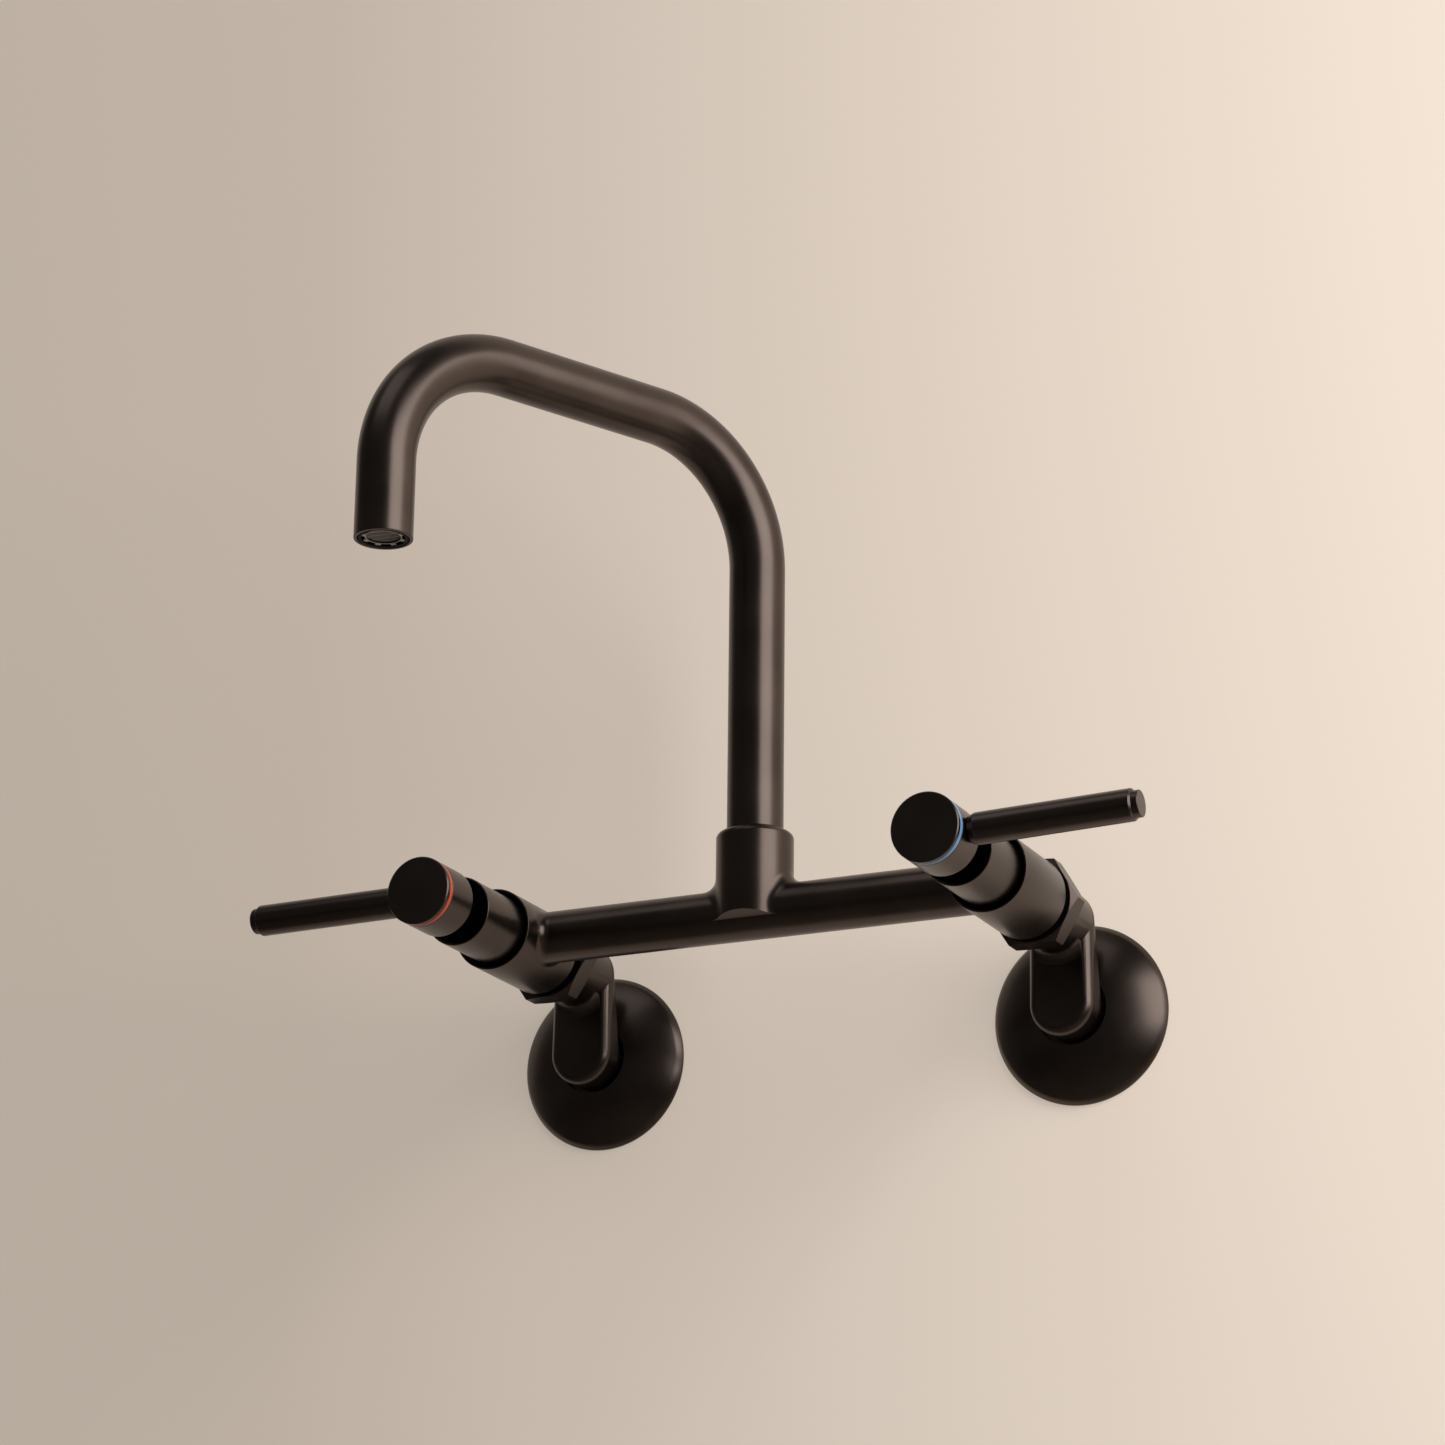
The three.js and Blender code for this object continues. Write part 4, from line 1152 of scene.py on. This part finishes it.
class FAUCET_OT_arms(Operator):
    """Build the swing arms that carry the bridge"""

    bl_idname = "faucet.arms"
    bl_label = "Swing Arms"

    def execute(self, context):
        s = sizes()
        n = s.facets
        shoulder = s.nut_back - NUT_GAP
        front = s.link_front
        side_front = front - s.link_edge
        for name, side in SIDES.items():
            foot = Vector((side * VALVE_X, 0, 0))
            head = foot + UP * VALVE_Z

            def round_end(at, back, back_edge, edge):
                corners = [
                    (0, back),
                    (s.arm_radius, back, back_edge) if back_edge else (s.arm_radius, back),
                    (s.arm_radius, front, edge),
                    (0, front),
                ]
                return turned(corners, at, WALL_OUT, n, steps=8)

            def plain(at, radius, start, end, facets=64):
                return turned(rod(radius, start, end), at, WALL_OUT, facets)

            link = hulled(
                corners_of(
                    round_end(foot, s.link_back_low, 0, s.link_edge),
                    round_end(head, s.link_back_high, s.link_back_edge, s.link_edge_high),
                )
            )
            inlet = plain(foot, s.arm_radius, INLET_START, s.link_back_low + 2, n)
            outlet = plain(head, s.arm_radius, side_front, shoulder, n)
            flat = s.arm_radius - s.link_edge
            face = hulled(
                corners_of(*(plain(at, flat, front - 2, front + 6, n) for at in (foot, head)))
            )
            tube, top = s.arm_radius + PROUD, front + PROUD
            reach = tube + s.link_fillet
            corner = turned(
                [
                    (CORNER_BORE, front - 1),
                    (reach, front - 1),
                    (reach, top),
                    (tube, top, s.link_fillet),
                    (tube, top + s.link_fillet),
                    (CORNER_BORE, top + s.link_fillet),
                ],
                head,
                WALL_OUT,
                n,
                steps=8,
            )
            spigot = turned(
                [
                    (0, shoulder - 1),
                    (SPIGOT_RADIUS, shoulder - 1),
                    (SPIGOT_RADIUS, SNAP_BACK),
                    (SNAP_GROOVE, SNAP_BACK),
                    (SNAP_GROOVE, SNAP_FRONT),
                    (SPIGOT_RADIUS, SNAP_FRONT),
                    (SPIGOT_RADIUS, SPIGOT_END),
                    (0, SPIGOT_END),
                ],
                head,
                WALL_OUT,
                64,
            )
            channel = hulled(
                corners_of(
                    plain(foot, CHANNEL_RADIUS, CHANNEL_LOW, CHANNEL_FRONT),
                    plain(head, CHANNEL_RADIUS, CHANNEL_HIGH, CHANNEL_FRONT),
                )
            )
            arm = combined(
                link,
                ("UNION", inlet),
                ("UNION", outlet),
                ("UNION", combined(corner, ("INTERSECT", face))),
                ("UNION", spigot),
                ("DIFFERENCE", plain(foot, INLET_SOCKET, -0.5, SOCKET_DEPTH)),
                ("DIFFERENCE", plain(foot, CHANNEL_RADIUS, 0, CHANNEL_FRONT)),
                ("DIFFERENCE", channel),
                ("DIFFERENCE", plain(head, CHANNEL_RADIUS, OUTLET_FROM, 50)),
            )
            finished(
                f"{name}_swing_elbow", arm, f"{name}_swing_arm", finish("bronze"), [f"{name}_arm"]
            )
        return {"FINISHED"}


FLANGE_WALL = 2.4
FLANGE_HUB = 18.2
HUB_FOOT = 2.1
SEAT_WIDTH = 3.5
MOUTH_CHAMFER = 3.2
LIP_PLAY = 0.06
GROOVE_RADIUS = 15.3
GROOVE_BACK = 3.4
GROOVE_FRONT = 6.0
FLANGE_FACETS = 160


class FAUCET_OT_flanges(Operator):
    """Build the domed flanges that cover the wall openings"""

    bl_idname = "faucet.flanges"
    bl_label = "Wall Flanges"

    def execute(self, context):
        s = sizes()
        face = bowed(
            (s.flange_hole, s.flange_face), (s.flange_edge_radius, s.flange_edge), s.flange_dome
        )
        seat = s.flange_radius - SEAT_WIDTH

        def under(radius):
            one, two = next(p for p in zip(face, face[1:]) if p[1][0] >= radius)
            share = (radius - one[0]) / (two[0] - one[0])
            return one[1] + share * (two[1] - one[1]) - FLANGE_WALL

        inside = bowed((FLANGE_HUB, under(FLANGE_HUB)), (seat, under(seat)), s.flange_dome)
        lip = s.arm_radius + LIP_PLAY
        mouth = s.flange_face - MOUTH_CHAMFER
        for name, side in SIDES.items():
            shell = turned(
                [
                    (s.flange_radius, 0, 0.12),
                    (s.flange_radius, s.flange_rim, 0.3),
                    *reversed(face),
                    (s.flange_hole, mouth),
                    (lip, mouth),
                    (lip, GROOVE_FRONT),
                    (GROOVE_RADIUS, GROOVE_FRONT),
                    (GROOVE_RADIUS, GROOVE_BACK),
                    (lip, GROOVE_BACK),
                    (lip, HUB_FOOT),
                    (FLANGE_HUB, HUB_FOOT),
                    *inside,
                    (seat, 0),
                ],
                (side * VALVE_X, 0, 0),
                WALL_OUT,
                FLANGE_FACETS,
                steps=7,
            )
            finished(
                f"{name}_wall_cover",
                shell,
                f"{name}_swing_arm",
                finish("bronze"),
                [f"{name}_flange"],
            )
        return {"FINISHED"}


NUT_FACE = 15.85
NUT_CHAMFER_BACK = 1.3
NUT_CHAMFER_FRONT = 2.0
NUT_ROUND = 0.35
NUT_HOLE = 10.85
NUT_FLOOR = 2.5
NECK_PLAY = 0.35


class FAUCET_OT_nuts(Operator):
    """Build the hexagonal union nuts"""

    bl_idname = "faucet.nuts"
    bl_label = "Union Nuts"

    def execute(self, context):
        s = sizes()
        corner = s.nut_flats / math.sqrt(3)
        front = s.nut_back + s.nut_length
        for name, side in SIDES.items():
            at = Vector((side * VALVE_X, 0, VALVE_Z))
            prism = bmesh.new()
            place = Matrix.Translation(at + WALL_OUT * (s.nut_back + s.nut_length / 2))
            upright = Matrix.Rotation(math.pi / 2, 4, "X") @ Matrix.Rotation(math.pi / 6, 4, "Z")
            bmesh.ops.create_cone(
                prism,
                cap_ends=True,
                segments=6,
                radius1=corner,
                radius2=corner,
                depth=s.nut_length,
                matrix=place @ upright,
            )
            long_edges = [
                e for e in prism.edges if abs((e.verts[0].co - e.verts[1].co).y) > 1
            ]
            rounded(prism, long_edges, NUT_ROUND)
            cones = turned(
                [
                    (0, s.nut_back),
                    (NUT_FACE, s.nut_back, 0.2),
                    (corner + 0.5, s.nut_back + NUT_CHAMFER_BACK),
                    (corner + 0.5, front - NUT_CHAMFER_FRONT),
                    (NUT_FACE, front, 0.2),
                    (0, front),
                ],
                at,
                WALL_OUT,
                128,
            )
            bore = turned(
                [
                    (0, s.nut_back - PAST),
                    (NUT_HOLE, s.nut_back - PAST),
                    (NUT_HOLE, s.nut_back + NUT_FLOOR),
                    (NECK_RADIUS + NECK_PLAY, s.nut_back + NUT_FLOOR),
                    (NECK_RADIUS + NECK_PLAY, front + PAST),
                    (0, front + PAST),
                ],
                at,
                WALL_OUT,
                96,
            )
            nut = combined(sound(prism), ("INTERSECT", cones), ("DIFFERENCE", bore))
            finished(
                f"{name}_hex_nut", nut, f"{name}_nut", finish("bronze"), [f"{name}_union_nut"]
            )
        return {"FINISHED"}


class FAUCET_OT_inner_parts(Operator):
    """Give the seals, discs, screws and other inner parts their finishes"""

    bl_idname = "faucet.inner_parts"
    bl_label = "Inner Parts"

    def execute(self, context):
        for row in frame["record"]["subparts"]:
            node = frame["nodes"][row["node"]]
            if node.hide_render:
                continue
            node.data.materials.clear()
            node.data.materials.append(finish(row["material_slot"]))
        return {"FINISHED"}


def sheet(name, corners, material):
    """Flat piece of the stage."""
    mesh = bpy.data.meshes.new(name)
    mesh.from_pydata(corners, [], [(0, 1, 2, 3)])
    mesh.materials.append(material)
    linked(name, mesh)


def soft_light(name, place, target, width, height, power):
    """Rectangular soft light that faces a point."""
    lamp = bpy.data.lights.new(name, "AREA")
    lamp.shape = "RECTANGLE"
    lamp.size = width
    lamp.size_y = height
    lamp.energy = power
    lamp.color = LIGHT_TINT
    obj = linked(name, lamp)
    obj.location = place
    aim = (Vector(target) - Vector(place)).to_track_quat("-Z", "Y")
    obj.rotation_euler = aim.to_euler()


# The camera that took the picture, found from the faucet's own edges: place and turns.
CAMERA_LENS = 100.99
CAMERA_PLACE = (0.620345, -1.413513, -0.386060)
CAMERA_PAN = 0.4435186
CAMERA_TILT = 0.3232025
CAMERA_ROLL = -0.0110017
WALL_BACK = 0.0006
WALL_HALF = 2.2
FLOOR_HALF = 4
FLOOR_FRONT = -5
FLOOR_LEVEL = -1.0
WALL_TOP = 1.8
# Painted light on the wall: strength of its glow at the left and at the right, and the width of
# the ramp between, brighter at the right where the key light falls.
GLOW_LEFT = 0.72
GLOW_RIGHT = 1.2
GLOW_SPAN = 0.25
LIGHT_TINT = (1, 0.97, 0.94)


def photo_camera(scene):
    """Camera at the picture's place."""
    camera = bpy.data.cameras.new("camera")
    camera.lens = CAMERA_LENS
    camera.sensor_width = 36
    camera.clip_end = 50
    eye = linked("camera", camera)
    turn = (
        Matrix.Rotation(CAMERA_PAN, 3, "Z")
        @ Matrix.Rotation(CAMERA_TILT, 3, "X")
        @ Matrix.Rotation(CAMERA_ROLL, 3, "Y")
    )
    right, ahead, up = (turn.col[k] for k in range(3))
    look = Matrix((right, up, -ahead)).transposed().to_4x4()
    look.translation = CAMERA_PLACE
    eye.matrix_world = look
    scene.camera = eye


def pale_wall(studio):
    """Wall that shows from the front only, with painted light for the camera and for reflections:
    a glow that grows brighter towards the right, where the key light falls.
    """
    wall, nodes, links, shader = surface("plain_wall")
    shader.inputs["Base Color"].default_value = (*studio.wall, 1)
    shader.inputs["Roughness"].default_value = 0.9
    shader.inputs["Specular IOR Level"].default_value = 0.1
    clear = nodes.new("ShaderNodeBsdfTransparent")
    facing = nodes.new("ShaderNodeNewGeometry")
    one_sided = nodes.new("ShaderNodeMixShader")
    links.new(facing.outputs["Backfacing"], one_sided.inputs["Fac"])
    glow = nodes.new("ShaderNodeEmission")
    glow.inputs["Color"].default_value = (*studio.wall_glow, 1)
    place = nodes.new("ShaderNodeTexCoord")
    apart = nodes.new("ShaderNodeSeparateXYZ")
    links.new(place.outputs["Object"], apart.inputs["Vector"])
    span = (-GLOW_SPAN, GLOW_SPAN)
    across = ranged(nodes, links, apart.outputs["X"], GLOW_LEFT, GLOW_RIGHT, *span)
    ray = nodes.new("ShaderNodeLightPath")
    seen = nodes.new("ShaderNodeMath")
    seen.operation = "MAXIMUM"
    links.new(ray.outputs["Is Camera Ray"], seen.inputs[0])
    links.new(ray.outputs["Is Glossy Ray"], seen.inputs[1])
    strength = nodes.new("ShaderNodeMath")
    strength.operation = "MULTIPLY"
    links.new(seen.outputs["Value"], strength.inputs[0])
    links.new(across, strength.inputs[1])
    links.new(strength.outputs["Value"], glow.inputs["Strength"])
    pale = nodes.new("ShaderNodeAddShader")
    links.new(shader.outputs["BSDF"], pale.inputs[0])
    links.new(glow.outputs["Emission"], pale.inputs[1])
    links.new(pale.outputs["Shader"], one_sided.inputs[1])
    links.new(clear.outputs["BSDF"], one_sided.inputs[2])
    links.new(one_sided.outputs["Shader"], nodes["Material Output"].inputs["Surface"])
    return wall


class FAUCET_OT_studio(Operator):
    """Set up the camera, the pale wall and floor, and the soft light"""

    bl_idname = "faucet.studio"
    bl_label = "Studio"

    def execute(self, context):
        scene = context.scene
        studio = scene.faucet_studio
        scene.view_settings.view_transform = "Standard"
        photo_camera(scene)
        wall = pale_wall(studio)
        y, w, low, high = WALL_BACK, WALL_HALF, FLOOR_LEVEL, WALL_TOP
        sheet("wall", [(-w, y, low), (w, y, low), (w, y, high), (-w, y, high)], wall)
        ground, _, _, shader = surface("plain_floor")
        shader.inputs["Base Color"].default_value = (*studio.floor, 1)
        shader.inputs["Roughness"].default_value = 0.9
        w, near = FLOOR_HALF, FLOOR_FRONT
        sheet("floor", [(-w, near, low), (w, near, low), (w, w, low), (-w, w, low)], ground)
        world = bpy.data.worlds.new("room")
        world.use_nodes = True
        room = world.node_tree.nodes["Background"].inputs
        room["Color"].default_value = (*studio.sky, 1)
        room["Strength"].default_value = studio.room_light
        scene.world = world
        soft_light("key", (1.2, -0.6, 0.42), (0, -0.08, 0.05), 1.15, 1.1, studio.key_power)
        soft_light("fill", (-0.4, -1.2, 2.0), (0, 0, 0.1), 1.6, 1.2, studio.fill_power)
        return {"FINISHED"}


class FAUCET_PT_panel(Panel):
    """Faucet builder in the sidebar"""

    bl_label = "Bridge Faucet"
    bl_idname = "FAUCET_PT_panel"
    bl_space_type = "VIEW_3D"
    bl_region_type = "UI"
    bl_category = "Faucet"

    def draw(self, context):
        layout = self.layout
        for operator in OPERATORS:
            layout.operator(operator.bl_idname)
        scene = context.scene
        for group in (scene.faucet_sizes, scene.faucet_finish, scene.faucet_studio):
            box = layout.box()
            for name in type(group).__annotations__:
                box.prop(group, name)


OPERATORS = (
    FAUCET_OT_bridge,
    FAUCET_OT_spout,
    FAUCET_OT_aerator,
    FAUCET_OT_bonnets,
    FAUCET_OT_handles,
    FAUCET_OT_arms,
    FAUCET_OT_flanges,
    FAUCET_OT_nuts,
    FAUCET_OT_inner_parts,
    FAUCET_OT_studio,
)
CLASSES = (FaucetSizes, FaucetFinish, FaucetStudio, *OPERATORS, FAUCET_PT_panel)


def register():
    """Registers the classes and the scene's settings."""
    for cls in CLASSES:
        bpy.utils.register_class(cls)
    bpy.types.Scene.faucet_sizes = PointerProperty(type=FaucetSizes)
    bpy.types.Scene.faucet_finish = PointerProperty(type=FaucetFinish)
    bpy.types.Scene.faucet_studio = PointerProperty(type=FaucetStudio)


def unregister():
    """Takes the settings and the classes away again."""
    del bpy.types.Scene.faucet_studio
    del bpy.types.Scene.faucet_finish
    del bpy.types.Scene.faucet_sizes
    for cls in reversed(CLASSES):
        bpy.utils.unregister_class(cls)


def main():
    """Builds every piece."""
    register()
    for operator in OPERATORS:
        group, name = operator.bl_idname.split(".")
        getattr(getattr(bpy.ops, group), name)()


if __name__ == "__main__":
    main()
